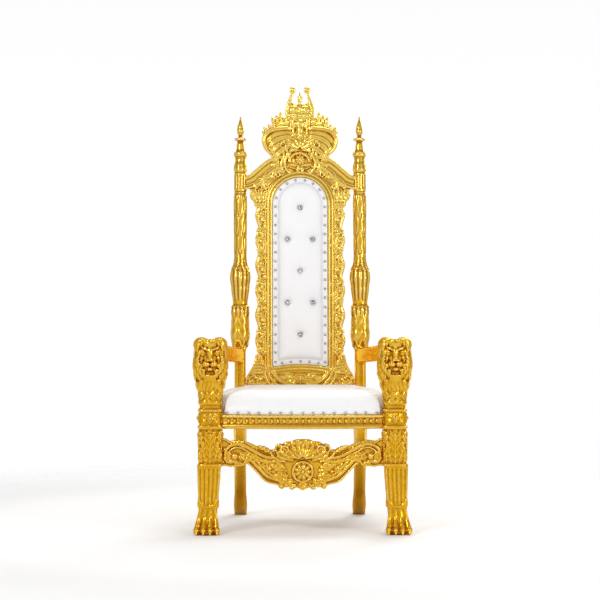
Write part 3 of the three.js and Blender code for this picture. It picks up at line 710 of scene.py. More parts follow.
print("posts")
post = {
    "rows": 330, "sides": 72, "flutes": 12, "gadroons": 12, "shaftLeaves": 5, "wrapLeaves": 6,
    "top": 1704, "heelInset": 28,
    # the darker tone towards the floor is painted shade, where the seat shades the leg
    "tone": (1, 0.7, 40, 340),  # the plain leg under the seat is toned darker towards the floor
    "profile": [  # height, half width, half depth, power of the section; or height and radius
        [0, 26, 28, 4], [40, 28.5, 30, 4], [110, 24.5, 27, 4.5], [240, 25, 28, 5], [404, 28, 33, 6],
        [480, 24, 28, 3.4], [560, 23.5, 27, 3.2], [704, 23.5, 27, 3.2], [712, 27, 28, 5],
        [728, 29.5, 29.5, 3], [766, 36.5, 36.5, 2.4], [804, 34.5, 34.5, 2.3], [878, 33, 33, 2.2],
        [890, 35], [900, 31], [912, 31], [970, 37], [1012, 42.5], [1034, 40.5], [1052, 33], [1066, 26.5],
        [1080, 23.5], [1100, 22.5], [1370, 24.5], [1374, 26.5], [1378, 23.5], [1382, 26.5], [1388, 27.2],
        [1454, 27.2], [1459, 26], [1462, 23.5], [1466, 27], [1474, 28.2], [1492, 26.5], [1508, 22],
        [1520, 21.5], [1530, 24], [1533, 28], [1540, 29.4], [1547, 28], [1550, 20], [1560, 17], [1580, 16],
        [1592, 12], [1597, 15], [1600, 25], [1604, 26.6], [1608, 25], [1611, 11], [1618, 7.5], [1628, 12],
        [1640, 15.4], [1652, 13.4], [1690, 4.5], [1704, 1.2]],
}


def postMiddle(z):
    # below the rails the leg sweeps back by the power 1.6 of its depth; above the seat it leans back
    below = np.clip((throne["railBottom"] - z) / throne["railBottom"], 0, 1)
    swept = throne["postY"] + (throne["halfDepth"] - post["heelInset"] - throne["postY"]) * below ** 1.6
    return swept + np.maximum(z - throne["rakeStart"], 0) * math.tan(throne["rake"])


def leafRelief(u, v, lobes):
    # a carved leaf's height at u across (-1 to 1) and v along (0 to 1): zero outside its notched outline
    inside = (v > 0) & (v < 1)
    v = np.clip(v, 0, 1)
    body = np.sin(pi * (0.12 + 0.86 * v ** 0.8)) * (0.72 + 0.28 * np.abs(np.sin(pi * lobes * v)))
    edge = np.abs(u) / np.maximum(body, 0.05)
    ridges = np.cos(2 * pi * (lobes * v - 0.8 * np.abs(u)))
    dome = smoothStep(1.0, 0.72, edge) * (0.75 + 0.25 * ridges * edge)
    return inside * (dome - 0.35 * bump(u, 0, 0.07) * (edge < 1)) * (1 - 0.3 * v)


def postRelief(angle, z):
    # flutes on the barrel, gadroons on the bulb, rows of long leaves on the shaft and a wrap of leaves below
    def leafAcross(count, row):
        # across the leaves of one row, each odd row set half a leaf round
        return (angle * count / (2 * pi) + 0.5 * (row % 2) + 0.25) % 1 * 2 - 1

    flutes = np.abs(np.cos(post["flutes"] / 2 * angle)) ** 4
    barrel = -3.0 * flutes * smoothStep(1390, 1397, z) * smoothStep(1453, 1446, z)
    swell = smoothStep(905, 930, z) * smoothStep(1062, 1046, z)
    bulb = swell * (4.8 * np.abs(np.cos(post["gadroons"] / 2 * angle)) ** 0.8 - 3.2)
    vase = 0.9 * np.cos(10 * angle) * bump(z, 1490, 18)
    shaft = 0.9 * np.cos(10 * angle + 1.2 * np.sin(z / 26)) * smoothStep(1056, 1080, z)
    for row in range(4):
        leaf = leafRelief(leafAcross(post["shaftLeaves"], row) / 0.9, (z - (1040 + row * 78)) / 172, 2)
        shaft = np.maximum(shaft, 5.4 * leaf)
    shaft = shaft * smoothStep(1372, 1360, z)
    wrap = np.zeros_like(shaft)
    for row, (base, tall) in enumerate([(718, 176), (744, 154)]):
        tip = 1 + 0.9 * bump(z, base + tall * 0.9, 16)
        leaf = leafRelief(leafAcross(post["wrapLeaves"], row), (z - base) / tall, 4)
        wrap = np.maximum(wrap, (6.2 - row) * tip * leaf)
    return barrel + bulb + vase + shaft + wrap


def postShape():
    profile = [row if len(row) > 2 else [row[0], row[1], row[1], 2] for row in post["profile"]]
    seat, plain = 700, 60
    upper = np.linspace(seat, post["top"], post["rows"] - plain)
    z = np.unique(np.concatenate([np.linspace(0, seat, plain), upper, [row[0] for row in profile]]))
    a, b, power = readRows(profile, z)
    z = z[:, None]
    angle = (np.arange(post["sides"]) + 0.5)[None] * 2 * pi / post["sides"]
    relief = postRelief(angle, z)
    x, y = ovalPoint(angle, a + relief, b + relief, power)
    return gridShape(np.stack([throne["postX"] + x, postMiddle(z) + y, z + 0 * x], -1))


def makePosts():
    for made, side in bothHands(objectOf("carved_post_right", [postShape()])):
        markRecess(made, 1.4)
        # painted shade under the seat, deepening towards the floor
        tonedBy(made, *post["tone"])
        finished(made, "gold_leaf", postGold, "back_post_" + side)


print("front legs with the lion heads")
leg = {
    "sides": 112, "voxel": 1.9, "most": 150000, "half": 42,
    "profile": [  # height, middle x, middle y, half width, half depth, power of the section
        [14, 376, -306, 38, 44, 2.6], [40, 374.5, -302, 39, 44, 2.8], [66, 373.5, -298, 37, 41, 3.4],
        [96, 372, -292, 36.5, 40, 5], [104, 371.5, -291, 40.5, 42, 7], [262, 368, -290, 46, 45.5, 8],
        [266, 365, -290, 50, 48, 6], [274, 363, -290, 50.5, 49, 5], [279, 363, -290, 43, 42, 5],
        [344, 363, -290, 42, 41, 4.4], [408, 363, -290, 42.5, 41.5, 5], [413, 363, -290, 49, 47.5, 6],
        [423, 363, -290, 50, 48, 6], [428, 363, -290, 43.5, 42.5, 6], [478, 363, -290, 43.5, 42.5, 6],
        [482, 363, -290, 49, 47.5, 6], [489, 363, -290, 48, 47, 5], [493, 363, -290, 42, 41, 4],
        [504, 363, -290, 42, 41, 4], [509, 363, -291, 45, 44, 3.4], [518, 363, -292, 45.5, 44.5, 3],
        [530, 363, -292, 42, 42, 2.6], [580, 363, -293, 46, 46, 2.1], [640, 363, -293, 47, 46, 2],
        [700, 363, -293, 47, 46, 2], [740, 363, -290, 42, 40, 2], [764, 363, -288, 28, 28, 2]],
    "toes": [-39, -13, 13, 39],
    "leaves": [  # on each face: across, height, angle, length, width, lobes, turn
        [0, 278, 90, 118, 44, 5, 0], [-14, 282, 112, 84, 30, 4, -34], [14, 282, 68, 84, 30, 4, 34],
        [-34, 280, 96, 60, 24, 3, -20], [34, 280, 84, 60, 24, 3, 20], [-22, 344, 70, 64, 26, 3, 50],
        [22, 344, 110, 64, 26, 3, -50], [-36, 352, 84, 54, 20, 3, 30], [36, 352, 96, 54, 20, 3, -30],
        [0, 372, 90, 40, 30, 3, 0], [-30, 436, 45, 30, 18, 2, 10], [30, 436, 135, 30, 18, 2, -10],
        [-30, 474, -45, 30, 18, 2, -10], [30, 474, 225, 30, 18, 2, 10], [0, 432, 90, 24, 18, 2, 0],
        [0, 476, -90, 24, 18, 2, 0]],
}


def legRelief(across, z):
    # across runs from -1 to 1 over each face: reeds sunk in a frame with a round foot, and a leafy collar
    side = np.abs(across)
    foot = 113 + 24 * (side / 0.8) ** 2.6
    inFrame = smoothStep(0.83, 0.78, side) * smoothStep(foot - 3, foot + 3, z) * smoothStep(259, 253, z)
    rim = bump(z, foot - 6, 4) * (side < 0.86) + bump(side, 0.88, 0.05) * (z > foot - 6)
    reeds = inFrame * (5.8 * np.abs(np.sin(2.5 * pi * across)) ** 0.6 - 7.0)
    collar = 3.0 * np.abs(np.cos(across * pi * 2)) * smoothStep(507, 512, z) * smoothStep(534, 526, z)
    return 2.4 * rim * smoothStep(264, 256, z) + reeds + collar


def faceCarving():
    # leaves and a flower drawn once on a plane, then laid on the four faces of the leg
    plane = leaves(leg["leaves"], out=-2, lift=0.1, thick=10, cols=11)
    plane += [flowerShape((0, 453), 18, 6, -1, 9), beadShape((0, 453), 6, 8, 0.8)]
    plane += scrolls([[-20, 392, 60, 46, -300, 7, 1, 1.5], [20, 392, 120, 46, 300, 7, 1, 1.5]])
    middleX, middleY, half = throne["legX"], throne["legY"], leg["half"]
    shapes = []
    for points, faces in plane:
        x, z, out = points.T
        for plan in ((middleX + x, middleY - half - out), (middleX + x, middleY + half + out),
                     (middleX + half + 1 + out, middleY + x), (middleX - half - 1 - out, middleY + x)):
            shapes.append(turnedOut(np.stack([*plan, z], 1), faces))
    return shapes


def legBody():
    z = np.concatenate([np.linspace(14, 560, 300), np.linspace(565, 764, 40)])
    middleX, middleY, a, b, power = readRows(leg["profile"], z)
    z = z[:, None]
    angle = np.arange(leg["sides"])[None] * 2 * pi / leg["sides"]
    x, y = ovalPoint(angle, a, b, power)
    across = np.where(np.abs(x / a) > np.abs(y / b), y / b, x / a)
    grow = 1 + legRelief(across, z) * smoothStep(545, 535, z) / np.hypot(x, y)
    return gridShape(np.stack([middleX + x * grow, middleY + y * grow, z + 0 * x], -1))


def pawShapes():
    # four long toes run down from the ankle and swell into knuckles; the claws are short
    shapes = [ellipsoid((376, -308, 26), (44, 46, 28)), ellipsoid((374, -297, 58), (36, 38, 38)),
              ellipsoid((376, -312, 8), (49, 54, 10))]
    t = np.linspace(0, 1, 18)[:, None]
    thick = alongShare(18, [0, 0.5, 0.8, 1], [8, 9.5, 13, 12])
    for x in leg["toes"]:
        back = 5 * (abs(x) > 20)
        path = np.array([372 + x * 0.7, -326, 106.0]) * (1 - t) + np.array([376 + x, -354 + back, 17]) * t
        path = path + backwards * (5 * np.sin(pi * t)) - backwards * 6 * t ** 3
        shapes += [lockShape(path, thick, (0, -1, 0.4), 0.95, 0),
                   ellipsoid((376 + x, -352 + back, 18), (13.5, 24, 17), (16, 0, x * 0.2)),
                   ellipsoid((376 + x * 1.03, -371 + back, 7), (5, 7, 7), (20, 0, 0))]
    return shapes


lion = {
    "x": 363, "y": -292, "eyeHeight": 690.0, "seed": 7,
    "head": [  # place from the middle, radii, tilt; those off the middle are made on both sides
        [[0, 0, 696], (53, 49, 62)], [[0, -40, 746], (31, 22, 19)],
        [[0, -50, 711], (13.5, 16, 34), (-12, 0, 0)], [[0, -73, 685], (14.5, 8, 7.5)],
        [[0, -55, 648], (12.5, 14, 8.5)], [[0, -34, 652], (30, 22, 22)]],
    "cheeks": [
        [[14.5, -61, 668], (15.5, 17, 13)], [[31, -44, 662], (11, 14, 11)], [[37, -29, 684], (19, 20, 25)],
        [[25, -47, 715], (7.5, 7, 5)], [[26, -37, 712], (18, 14, 18)], [[8.5, -79, 683], (5, 4, 3.6)],
        [[44, -34, 708], (13, 18, 26)], [[37, -6, 742], (31, 34, 30)]],
    "rings": [  # depth at the root, root radius, tip radius, depth run, drop, count, first angle, thickness
        (-44, 47, 66, 16, 10, 10, 20, 9.5), (-26, 52, 70, 26, 16, 11, 10, 10.5),
        (-2, 50, 68, 34, 22, 10, 5, 11.5), (24, 42, 58, 20, 26, 8, 0, 12)],
    "rolls": [(-54, 9), (-42, 11), (-26, 12), (-8, 12.5), (12, 12.5), (30, 12)],  # depth, thickness
    "fringe": [(5, 764, 26), (17, 766, 30), (30, 764, 38), (44, 756, 56)],  # across, height, fall
    "sides": [  # depth, reach, count, from and to angle, thickness, length
        (-47, 44, 5, 14, -58, 10.5, 60), (-32, 53, 6, 16, -68, 11.5, 76), (-8, 55, 7, 14, -70, 11, 86),
        (18, 52, 7, 14, -74, 12, 84)],
    # depth, height, fall, count, spread
    "beard": [(-57, 626, 40, 4, 18), (-52, 612, 58, 6, 36), (-46, 594, 44, 7, 42)],
    # height, radius, count, fall
    "nape": [(752, 34, 7, 56), (722, 48, 9, 60), (686, 54, 10, 62), (648, 54, 10, 60), (612, 47, 9, 56)],
}


def lionFace():
    # a calm beast of the woodcarver's kind: broad brow, long nose, heavy cheeks and an open lip line
    middle = np.array([lion["x"], lion["y"], 0.0])
    shapes = [ellipsoid(middle + place, *rest) for place, *rest in lion["head"]]
    t = np.linspace(0, 1, 12)[:, None]
    for s in (-1, 1):
        shapes += [ellipsoid(middle + [s * x, y, z], radii) for (x, y, z), radii in lion["cheeks"]]
        brow = np.concatenate([s * (7 + 34 * t), -60 + 16 * t, 722 + 15 * t - 4 * t ** 3], 1)
        thick = 7.0 * np.sin(pi * (0.2 + 0.7 * t[:, 0]))
        shapes.append(lockShape(middle + brow, thick, (0, -1, 0.3), 0.8, 0))
    return shapes


def maneShapes():
    # locks in rings about the face: each leaves the head along its own spoke, then sweeps back and down
    rng = np.random.default_rng(lion["seed"])
    centre = np.array([lion["x"], lion["y"], lion["eyeHeight"]])
    t = np.linspace(0, 1, 16)[:, None]
    taper = (0.35 + 0.65 * np.sin(pi * np.clip(t[:, 0] + 0.16, 0, 1))) * (1 - 0.25 * t[:, 0])
    shapes = []

    def spokeAt(low, high, k, count):
        # an angle between low and high, a little off its even place
        return math.radians(low + (high - low) * (k + rng.uniform(-0.2, 0.2)) / count)

    for y, root, tip, run, drop, count, low, thick in lion["rings"]:
        for s in (-1, 1):
            for k in range(count // 2 + 1):
                spoke = spokeAt(low, 90, k, count // 2 + 0.5)
                out = np.array([s * math.cos(spoke), 0, math.sin(spoke) * 1.14])
                wave = upwards * np.sin(2 * pi * t * 0.9 + rng.uniform(0, 6)) * 3.5
                path = centre + out * (root + (tip - root) * t ** 0.8) + backwards * (y + run * t) \
                    - upwards * drop * (1.2 * t + 2.2 * t ** 2) + wave
                shapes.append(lockShape(path, thick * taper, out + backwards * -0.4))
    # rolls of hair rise from the middle of the crown, arch over each side and hang down past the brow
    for s in (-1, 1):
        for k, (y, thick) in enumerate(lion["rolls"]):
            x = 5 + (58 - k) * np.sin(pi / 2 * np.clip(t * 1.15, 0, 1))
            z = 752 + 17 * np.sin(pi * np.clip(t * 1.3, 0, 1)) - (58 + 4 * k) * t ** 2.4 - abs(y + 8) * 0.12
            wave = 3 * np.sin(2 * pi * t + k)
            path = np.concatenate([lion["x"] + s * (x + wave * t), lion["y"] + y + 8 * t, z + wave * 0.5], 1)
            shapes.append(lockShape(path, thick * taper, np.concatenate([s * t, -0.6 + 0 * t, 1 - t], 1)))
        for x, z, fall in lion["fringe"]:
            path = np.concatenate([lion["x"] + s * (x + 10 * t - 4 * t ** 2),
                                   lion["y"] - 50 - 8 * np.sin(pi * t) + 12 * t, z - fall * t], 1)
            shapes.append(lockShape(path, 8.5 * taper, (s * 0.3, -1, 0.2), 0.8, 1))
    for y, reach, count, low, high, thick, length in lion["sides"]:
        for s in (-1, 1):
            for k in range(count):
                spoke = spokeAt(low, high, k, count - 1)
                out = np.array([s * math.cos(spoke), 0, math.sin(spoke)])
                fall = length * (0.8 + 0.3 * rng.random())
                swing = s * 7 * np.sin(2 * pi * (0.75 * t + 0.1 * k)) * t
                path = centre + out * [reach, 1, reach * 1.1] + backwards * y \
                    + sidewards * (swing + s * 9 * np.sin(pi * t) - s * 14 * t ** 2) \
                    - upwards * fall * t + backwards * (12 * t - 4)
                shapes.append(lockShape(path, thick * taper, out + backwards * -0.5, 0.75, 2))
    for row, (y, z, fall, count, spread) in enumerate(lion["beard"]):
        for k in range(count):
            x = spread * (2 * k / (count - 1) - 1)
            path = np.array([lion["x"] + x, lion["y"] + y + abs(x) * 0.25, z - 0.004 * x * x]) \
                + sidewards * (-x * 0.12 * t + 4 * np.sin(2 * pi * t + k)) \
                - upwards * fall * t + backwards * (8 * t)
            shapes.append(lockShape(path, (11.5 - row * 0.5) * taper, np.array([x * 0.01, -1, 0.1]), 0.8, 2))
    return shapes


def backOfHead():
    # rows of locks lie down the back and far sides of the head; every other row is set half a lock round
    t = np.linspace(0, 1, 14)[:, None]
    taper = 0.4 + 0.6 * np.sin(pi * np.clip(t[:, 0] + 0.16, 0, 1))
    shapes = []
    for z, radius, count, fall in lion["nape"]:
        for k in range(count):
            spoke = pi * (k + 0.5 * (z % 4 > 1)) / (count - 1)
            out = np.array([math.cos(spoke), math.sin(spoke) * 0.95, 0.0])
            path = np.array([lion["x"], lion["y"], z]) + out * (radius + 5 * np.sin(pi * t)) \
                - upwards * fall * t + np.array([-out[1], out[0], 0]) * 5 * np.sin(2 * pi * t + k)
            shapes.append(lockShape(path, 11.5 * taper, out))
    return shapes


def collarLeaves():
    # a ring of leaf tips hangs over the top of the leg
    shapes = []
    blade, faces = leafShape((0, 0), -90, 36, 30, 1, lift=0.1, thick=9, cols=9)
    for k in range(12):
        spoke = 2 * pi * (k + 0.5) / 12
        out = np.array([math.cos(spoke), math.sin(spoke)])
        place = np.array([lion["x"], lion["y"]]) + ovalPoint(spoke, 43, 42, 2.8) \
            + blade[:, :1] * [-out[1], out[0]] + blade[:, 2:] * out
        shapes.append(turnedOut(np.c_[place, 562 + blade[:, 1]], faces))
    return shapes


def makeLegs():
    shapes = [legBody()] + faceCarving() + pawShapes() + lionFace() + maneShapes() + backOfHead()
    right = carvedOf("lion_leg_right", shapes + collarLeaves(), leg["voxel"])
    points = pointsOf(right)
    points[:, 2] = np.maximum(points[:, 2], 0.0)
    setPoints(right, points)
    markRecess(right, 1.2)
    thinned(right, leg["most"])
    for made, side in bothHands(right):
        finished(made, "gold_leaf", legGold, "front_leg_" + side)


makePosts()
makeLegs()


print("arms and rails")
arm = {"path": [(357, -270, 701), (341, -150, 706), (294, 60, 694), (254, 236, 686)],
       "half": 22, "high": 32, "power": 3.4, "steps": 120, "sides": 80}
rail = {"bow": 40, "front": -302, "back": 239, "backHalf": 229,
        "sideEnds": [(270.0, 225.0), (379.0, -290.0)],
        "beadPitch": 24.5, "beadHalf": 9.4, "beadHeight": 443, "beadTall": 0.8,
        "section": [  # out from the face, height
            [0, 466], [0.5, 462], [0, 457], [-3, 455], [-5, 453], [-6, 443], [-5, 434], [-3.4, 432.4],
            [-1, 430.4], [1.2, 427.6], [2.6, 424.4], [3, 421], [2.6, 418], [0.5, 416.5], [0, 412.4],
            [-34, 412], [-36, 414], [-36, 466]]}


def swept(path, left, across, level, ends=True):
    # rings whose points stand across to the left of a path in a plane, each at its own level over it
    flat = path[:, None] + left[:, None] * across[..., None]
    return gridShape(np.concatenate([flat, np.broadcast_to(level, flat.shape[:2])[..., None]], -1), ends)


def railShape(path, left):
    # the rail's section carried along its plan
    return swept(path, left, *np.array(rail["section"]).T[:, None])


def armShape():
    t = np.linspace(0, 1, arm["steps"])[:, None]
    path = smoothLine(arm["path"], arm["steps"])
    along = np.gradient(path, axis=0)
    along /= np.linalg.norm(along, axis=1, keepdims=True)
    side = np.cross(along, upwards)
    side /= np.linalg.norm(side, axis=1, keepdims=True)
    up = np.cross(side, along)
    x, y = ovalPoint(circle(arm["sides"]), arm["half"], arm["high"], arm["power"])
    # two grooves run along each side, and the top is a roll between them
    groove = 2.0 * bump(y, 14, 3.4) + 1.4 * bump(y, -18, 3.2)
    x = x - np.sign(x) * groove * (np.abs(x) > 12)
    # the arm grows taller where it meets the post
    y = y * (1 + 0.42 * smoothStep(0.84, 1.0, t) ** 1.5)
    return gridShape(path[:, None] + side[:, None] * x[..., None] + up[:, None] * y[..., None])


def beadRow(path, left, out):
    # eggs set a pitch apart along a path in plan
    def at(line, place):
        return np.array([np.interp(place, run, values) for values in line.T])

    run = np.concatenate([[0], np.cumsum(np.hypot(*np.diff(path, axis=0).T))])
    pitch, half = rail["beadPitch"], rail["beadHalf"]
    count = int(run[-1] / pitch)
    turn = circle(12)
    fall = np.linspace(0.1, pi / 2 + 0.3, 6)[:, None]
    a, b = np.sin(fall) * np.cos(turn) * half * rail["beadTall"], np.sin(fall) * np.sin(turn) * half
    c = (np.cos(fall) + 0 * turn)[..., None]
    shapes = []
    for k in range(count):
        place = (run[-1] - (count - 1) * pitch) / 2 + k * pitch
        face = at(left, place)
        along = np.array([face[1], -face[0]])
        flat = at(path, place) + face * (out + c * half * 0.8) + along * a[..., None]
        shapes.append(gridShape(np.concatenate([flat, (rail["beadHeight"] + b)[..., None]], -1)))
    return shapes


def frontRail():
    t = np.linspace(0, 1, 90)
    reach = throne["legX"]
    path = np.stack([reach - 2 * reach * t, rail["front"] - rail["bow"] * np.sin(pi * t)], -1)
    left = leftOf(headingOf(path))
    left *= -np.sign(left[:, 1:2])
    return railShape(path, left), beadRow(path[6:-6], left[6:-6], -2.5)


def sideRail():
    start, end = np.array(rail["sideEnds"])
    along = (end - start) / np.linalg.norm(end - start)
    left = np.array([-along[1], along[0]])
    t = np.linspace(0, 1, 50)[:, None]
    path = start + (end - start) * t + left * (5 * np.sin(pi * t))
    lefts = np.repeat(left[None], 50, 0)
    return [railShape(path, lefts)] + beadRow(path[3:-5], lefts[3:-5], -5.5)


def backRail():
    path = np.array([[x, rail["back"]] for x in np.linspace(-rail["backHalf"], rail["backHalf"], 12)])
    return railShape(path, np.repeat([[0.0, 1.0]], 12, 0))


def makeBars():
    bars = objectOf("arm_bar_right", [armShape()]), objectOf("side_rail_right", sideRail())
    for right, node, material, share in zip(bars, ("arm_", "seat_rail_"), (smoothGold, gold), (0.05, 0.8)):
        for made, side in bothHands(right):
            markRecess(made, share)
            finished(made, "gold_leaf", material, node + side)
    bar, beads = frontRail()
    finished(objectOf("rail_beads", beads), "gold_leaf", paleGold)
    for side, shape in (("front", bar), ("back", backRail())):
        made = objectOf(side + "_rail", [shape])
        markRecess(made, 0.35)
        finished(made, "gold_leaf", paleGold, "seat_rail_" + side)


makeBars()


print("front stretcher")
stretcher = {
    "face": -300, "voxel": 2.0, "most": 105000, "back": -16, "front": 8, "middle": (0, 243),
    "top": [
        [0, 370], [26, 369], [48, 361], [66, 360], [87, 347], [101, 345], [115, 329], [143, 330],
        [171, 339], [203, 354], [236, 366], [264, 367], [288, 363], [302, 373], [324, 374]],
    "bottom": [
        [0, 170], [26, 182], [47, 189], [67, 189], [76, 178], [86, 175], [97, 189], [143, 202], [175, 234],
        [203, 263], [224, 277], [238, 266], [262, 264], [284, 262], [304, 266], [324, 264]],
    "bar": [[308, 292], [300, 330], [272, 350], [238, 350], [200, 330], [150, 304], [104, 298], [66, 314]],
    "sweep": [[232, 296], [206, 290], [176, 262], [142, 228], [104, 212], [76, 204]],
    "ripples": [[[105, 328], [88, 301], [44, 288]], [[130, 326], [108, 295], [66, 281]]],
    "leaves": [  # across, height, angle, length, width, lobes, turn, out
        [92, 340, 200, 60, 34, 3, 40, 8], [60, 246, 8, 66, 34, 4, 34, 8], [56, 232, -30, 58, 32, 4, 46, 8],
        [42, 218, -62, 46, 30, 3, 30, 9], [36, 284, 40, 62, 36, 4, -50, 8],
        [104, 270, 24, 66, 34, 4, -20, 6], [110, 240, 20, 60, 30, 4, 40, 6],
        [118, 312, 34, 70, 24, 4, -10, 8], [176, 322, 30, 70, 24, 4, -30, 8],
        [250, 318, 205, 62, 34, 4, -30, 8], [256, 300, 185, 70, 32, 4, 30, 7],
        [288, 348, 160, 62, 26, 4, 20, 9], [310, 340, 250, 52, 28, 3, -30, 8],
        [300, 276, 100, 46, 24, 3, 30, 8], [238, 276, 10, 46, 22, 3, 20, 8],
        [174, 290, 200, 60, 30, 4, -24, 6], [206, 296, 140, 44, 22, 3, 30, 8],
        [132, 226, 175, 48, 26, 3, 30, 8], [80, 192, 60, 44, 24, 3, 40, 8],
        [70, 340, 20, 40, 20, 3, -40, 9], [50, 286, 60, 62, 34, 3, -60, 10],
        [44, 296, 20, 58, 30, 3, 50, 11], [26, 292, 84, 60, 26, 2, -30, 12],
        [66, 262, -10, 54, 30, 3, 60, 9], [62, 226, 20, 48, 28, 3, -50, 9],
        [52, 206, -20, 44, 26, 2, 50, 9], [26, 196, -50, 34, 24, 2, 40, 10],
        [96, 246, 60, 44, 26, 2, -60, 9], [118, 288, 200, 50, 26, 3, 40, 9],
        [156, 286, 10, 60, 26, 3, 30, 9], [146, 266, -6, 44, 24, 2, 20, 9],
        [186, 300, -10, 50, 24, 2, -40, 9], [86, 312, 120, 40, 26, 2, -40, 10],
        [62, 334, 100, 26, 22, 1, -20, 9], [38, 340, 84, 26, 22, 1, 10, 10],
        [13, 344, 88, 27, 22, 1, 0, 11]],
}


def swellAlong(low, high, count, power):
    # rises from one end of a line and falls to the other by the sine
    return np.sin(pi * np.linspace(low, high, count)) ** power


def stretcherShapes():
    shapes = [stemShape(smoothLine(stretcher[key], 110) + [0, shift], 4.2, 5.5, 8)
              for key, shift in (("top", -4), ("bottom", 4))]
    taper = swellAlong(0.06, 0.96, 90, 0.35)
    for key, stems in (("bar", ((7.5, 11, 0), (4, 8, 14))), ("sweep", ((7, 11, 0), (3.6, 8, -13)))):
        line = smoothLine(stretcher[key], 90)
        heading = headingOf(line)
        shapes += [stemShape(line + leftOf(heading) * shift, half * taper, high * taper, 10, heading=heading)
                   for half, high, shift in stems]
    shapes += scrolls([[308, 300, 250, 120, -420, 12, 11, 1.4], [62, 311, -10, 116, 420, 12, 17, 1.2]])
    point = swellAlong(0.08, 0.94, 40, 0.6)
    shapes += [stemShape(smoothLine(line, 40), 6.5 * point, 12 * point, 10) for line in stretcher["ripples"]]
    shapes += scrolls([[78, 204, 170, 60, -360, 10, 11, 1.4], [158, 262, 150, 96, 400, 11, 11, 1.4]])
    shapes += [flowerShape((134, 256), 15, 6, 11, 10), beadShape((268, 304), 15, 12, 0.9),
               beadShape((84, 188), 12, 4, 1.0), beadShape((60, 196), 8, 8, 1.0)]
    shapes = bothSides(shapes + leaves(stretcher["leaves"], thick=11, lift=0.16))
    outline = mirroredLine(stretcher["top"] + stretcher["bottom"][::-1])
    # the middle: a rosette in a ring with a shell over it and a leaf hanging under
    middle = stretcher["middle"]
    shapes += [slabShape(outline, stretcher["back"], stretcher["front"]),
               ringShape(middle, 39, 4.4, 7.0, 11, 70), flowerShape(middle, 37, 9, 11, 12),
               flowerShape(middle, 17, 6, 18, 9), beadShape(middle, 6, 28, 0.8),
               fanShape((0, 286), 82, 9, 160, 9, 12, 0.35), fanShape((0, 290), 46, 7, 160, 16, 10, 0.3),
               leafShape((0, 208), -90, 38, 42, 2, out=9, thick=12)]
    # from the plane of carving to an upright board
    return [turnedOut(np.stack([p[:, 0], stretcher["face"] - p[:, 2], p[:, 1]], -1), faces)
            for p, faces in shapes]


carvedPiece("carved_stretcher", stretcherShapes(), stretcher, "front_stretcher")


print("back frame")
back = {
    "steps": 440, "voxel": 2.0, "most": 185000,
    "lobePitch": 106.8, "lobeFirst": 80, "lobes": 7, "lobeDepth": 6,
    "tone": (0.2, 0, 640, 740),  # the seat shades the foot already, so its hollows are toned less
    "section": [  # across from the panel's edge outwards, out
        [0, -20], [0, 4], [0, 13], [1, 16.5], [3.2, 18.6], [6, 18.8], [8, 17.2], [9, 16.2], [10.4, 15.8],
        [12, 17.2], [13.6, 20.4], [16, 22.6], [19, 23.2], [21.6, 21.8], [23.2, 19], [24.2, 17.4],
        [25.6, 17.8], [27, 19.2], [29, 20], [31, 19], [32.4, 16.5], [34, 13], [44, 12.5], [56, 12],
        [64, 10], [66, 6], [66, -14], [62, -20], [30, -21]],
    "vine": [84, 770], "bandLeaves": [90, 762],
    # at each lobe and in each hollow: across, up, angle, length, width, turn, lift
    "lobe": [
        (148, -26, 38, 54, 30, 30, 0.2), (146, -6, 6, 48, 28, 24, 0.2), (148, 16, -20, 46, 26, -30, 0.2),
        (150, 22, 60, 44, 26, -50, 0.2), (146, -30, -60, 36, 22, 40, 0.15),
        (144, 4, 110, 34, 22, -40, 0.15)],
    "hollow": [
        (150, -18, 66, 42, 26, 30, 0.2), (160, 4, 20, 28, 22, 30, 0.2), (144, 8, 124, 34, 22, -30, 0.15),
        (158, 24, 100, 34, 22, -60, 0.2)],
    "capital": [
        (158, 772, 96, 46, 22), (172, 770, 84, 54, 24), (186, 770, 70, 50, 24), (164, 786, 92, 50, 20),
        (180, 786, 76, 48, 22), (196, 782, 62, 36, 18), (150, 792, 104, 36, 18)],
    "necks": [(766, 148, 196, 5), (756, 150, 190, 3.5)],  # height, from and to across, half width
    "spandrel": [
        [120, 790], [206, 790], [214, 838], [196, 866], [160, 894], [120, 922], [96, 940], [30, 940],
        [30, 884], [76, 876], [110, 846]],
    "spandrelLeaves": [
        (200, 838, 140, 66, 34, 2, 30), (152, 832, 78, 62, 32, 2, 40), (172, 868, 150, 58, 32, 2, 20),
        (124, 872, 105, 52, 30, 2, 40), (112, 896, 140, 44, 26, 2, 20)],
    "shoulder": [[236, 857], [226, 858], [198, 870], [164, 899], [130, 928], [96, 944], [50, 951]],
    "corner": [
        [112, 46], [112, -38], [228, -38], [229, 20], [222, 40], [210, 58], [200, 78], [192, 100],
        [188, 128], [150, 128]],
    "cornerStems": [
        ([[116, 58], [104, 36], [78, 14], [44, -2], [20, -14]], 11),
        ([[136, 60], [128, 34], [104, 4], [72, -16]], 7),
        ([[150, 58], [146, 32], [130, 2], [110, -22]], 6)],
    "cornerLeaves": [
        (142, 34, -20, 50, 28, 3, -20), (142, 4, -10, 46, 28, 3, 30), (176, 48, 10, 44, 24, 3, -40),
        (130, -6, -50, 40, 26, 3, 20), (100, 26, -60, 40, 24, 3, 30), (206, -22, 60, 36, 22, 3, 40),
        (162, -22, 30, 44, 24, 3, 20), (60, 24, 160, 44, 24, 3, 30), (88, 44, 170, 46, 20, 3, 20)],
    "foot": [[-130, -38], [130, -38], [130, 44], [60, 56], [0, 60], [-60, 56], [-130, 44]],
}


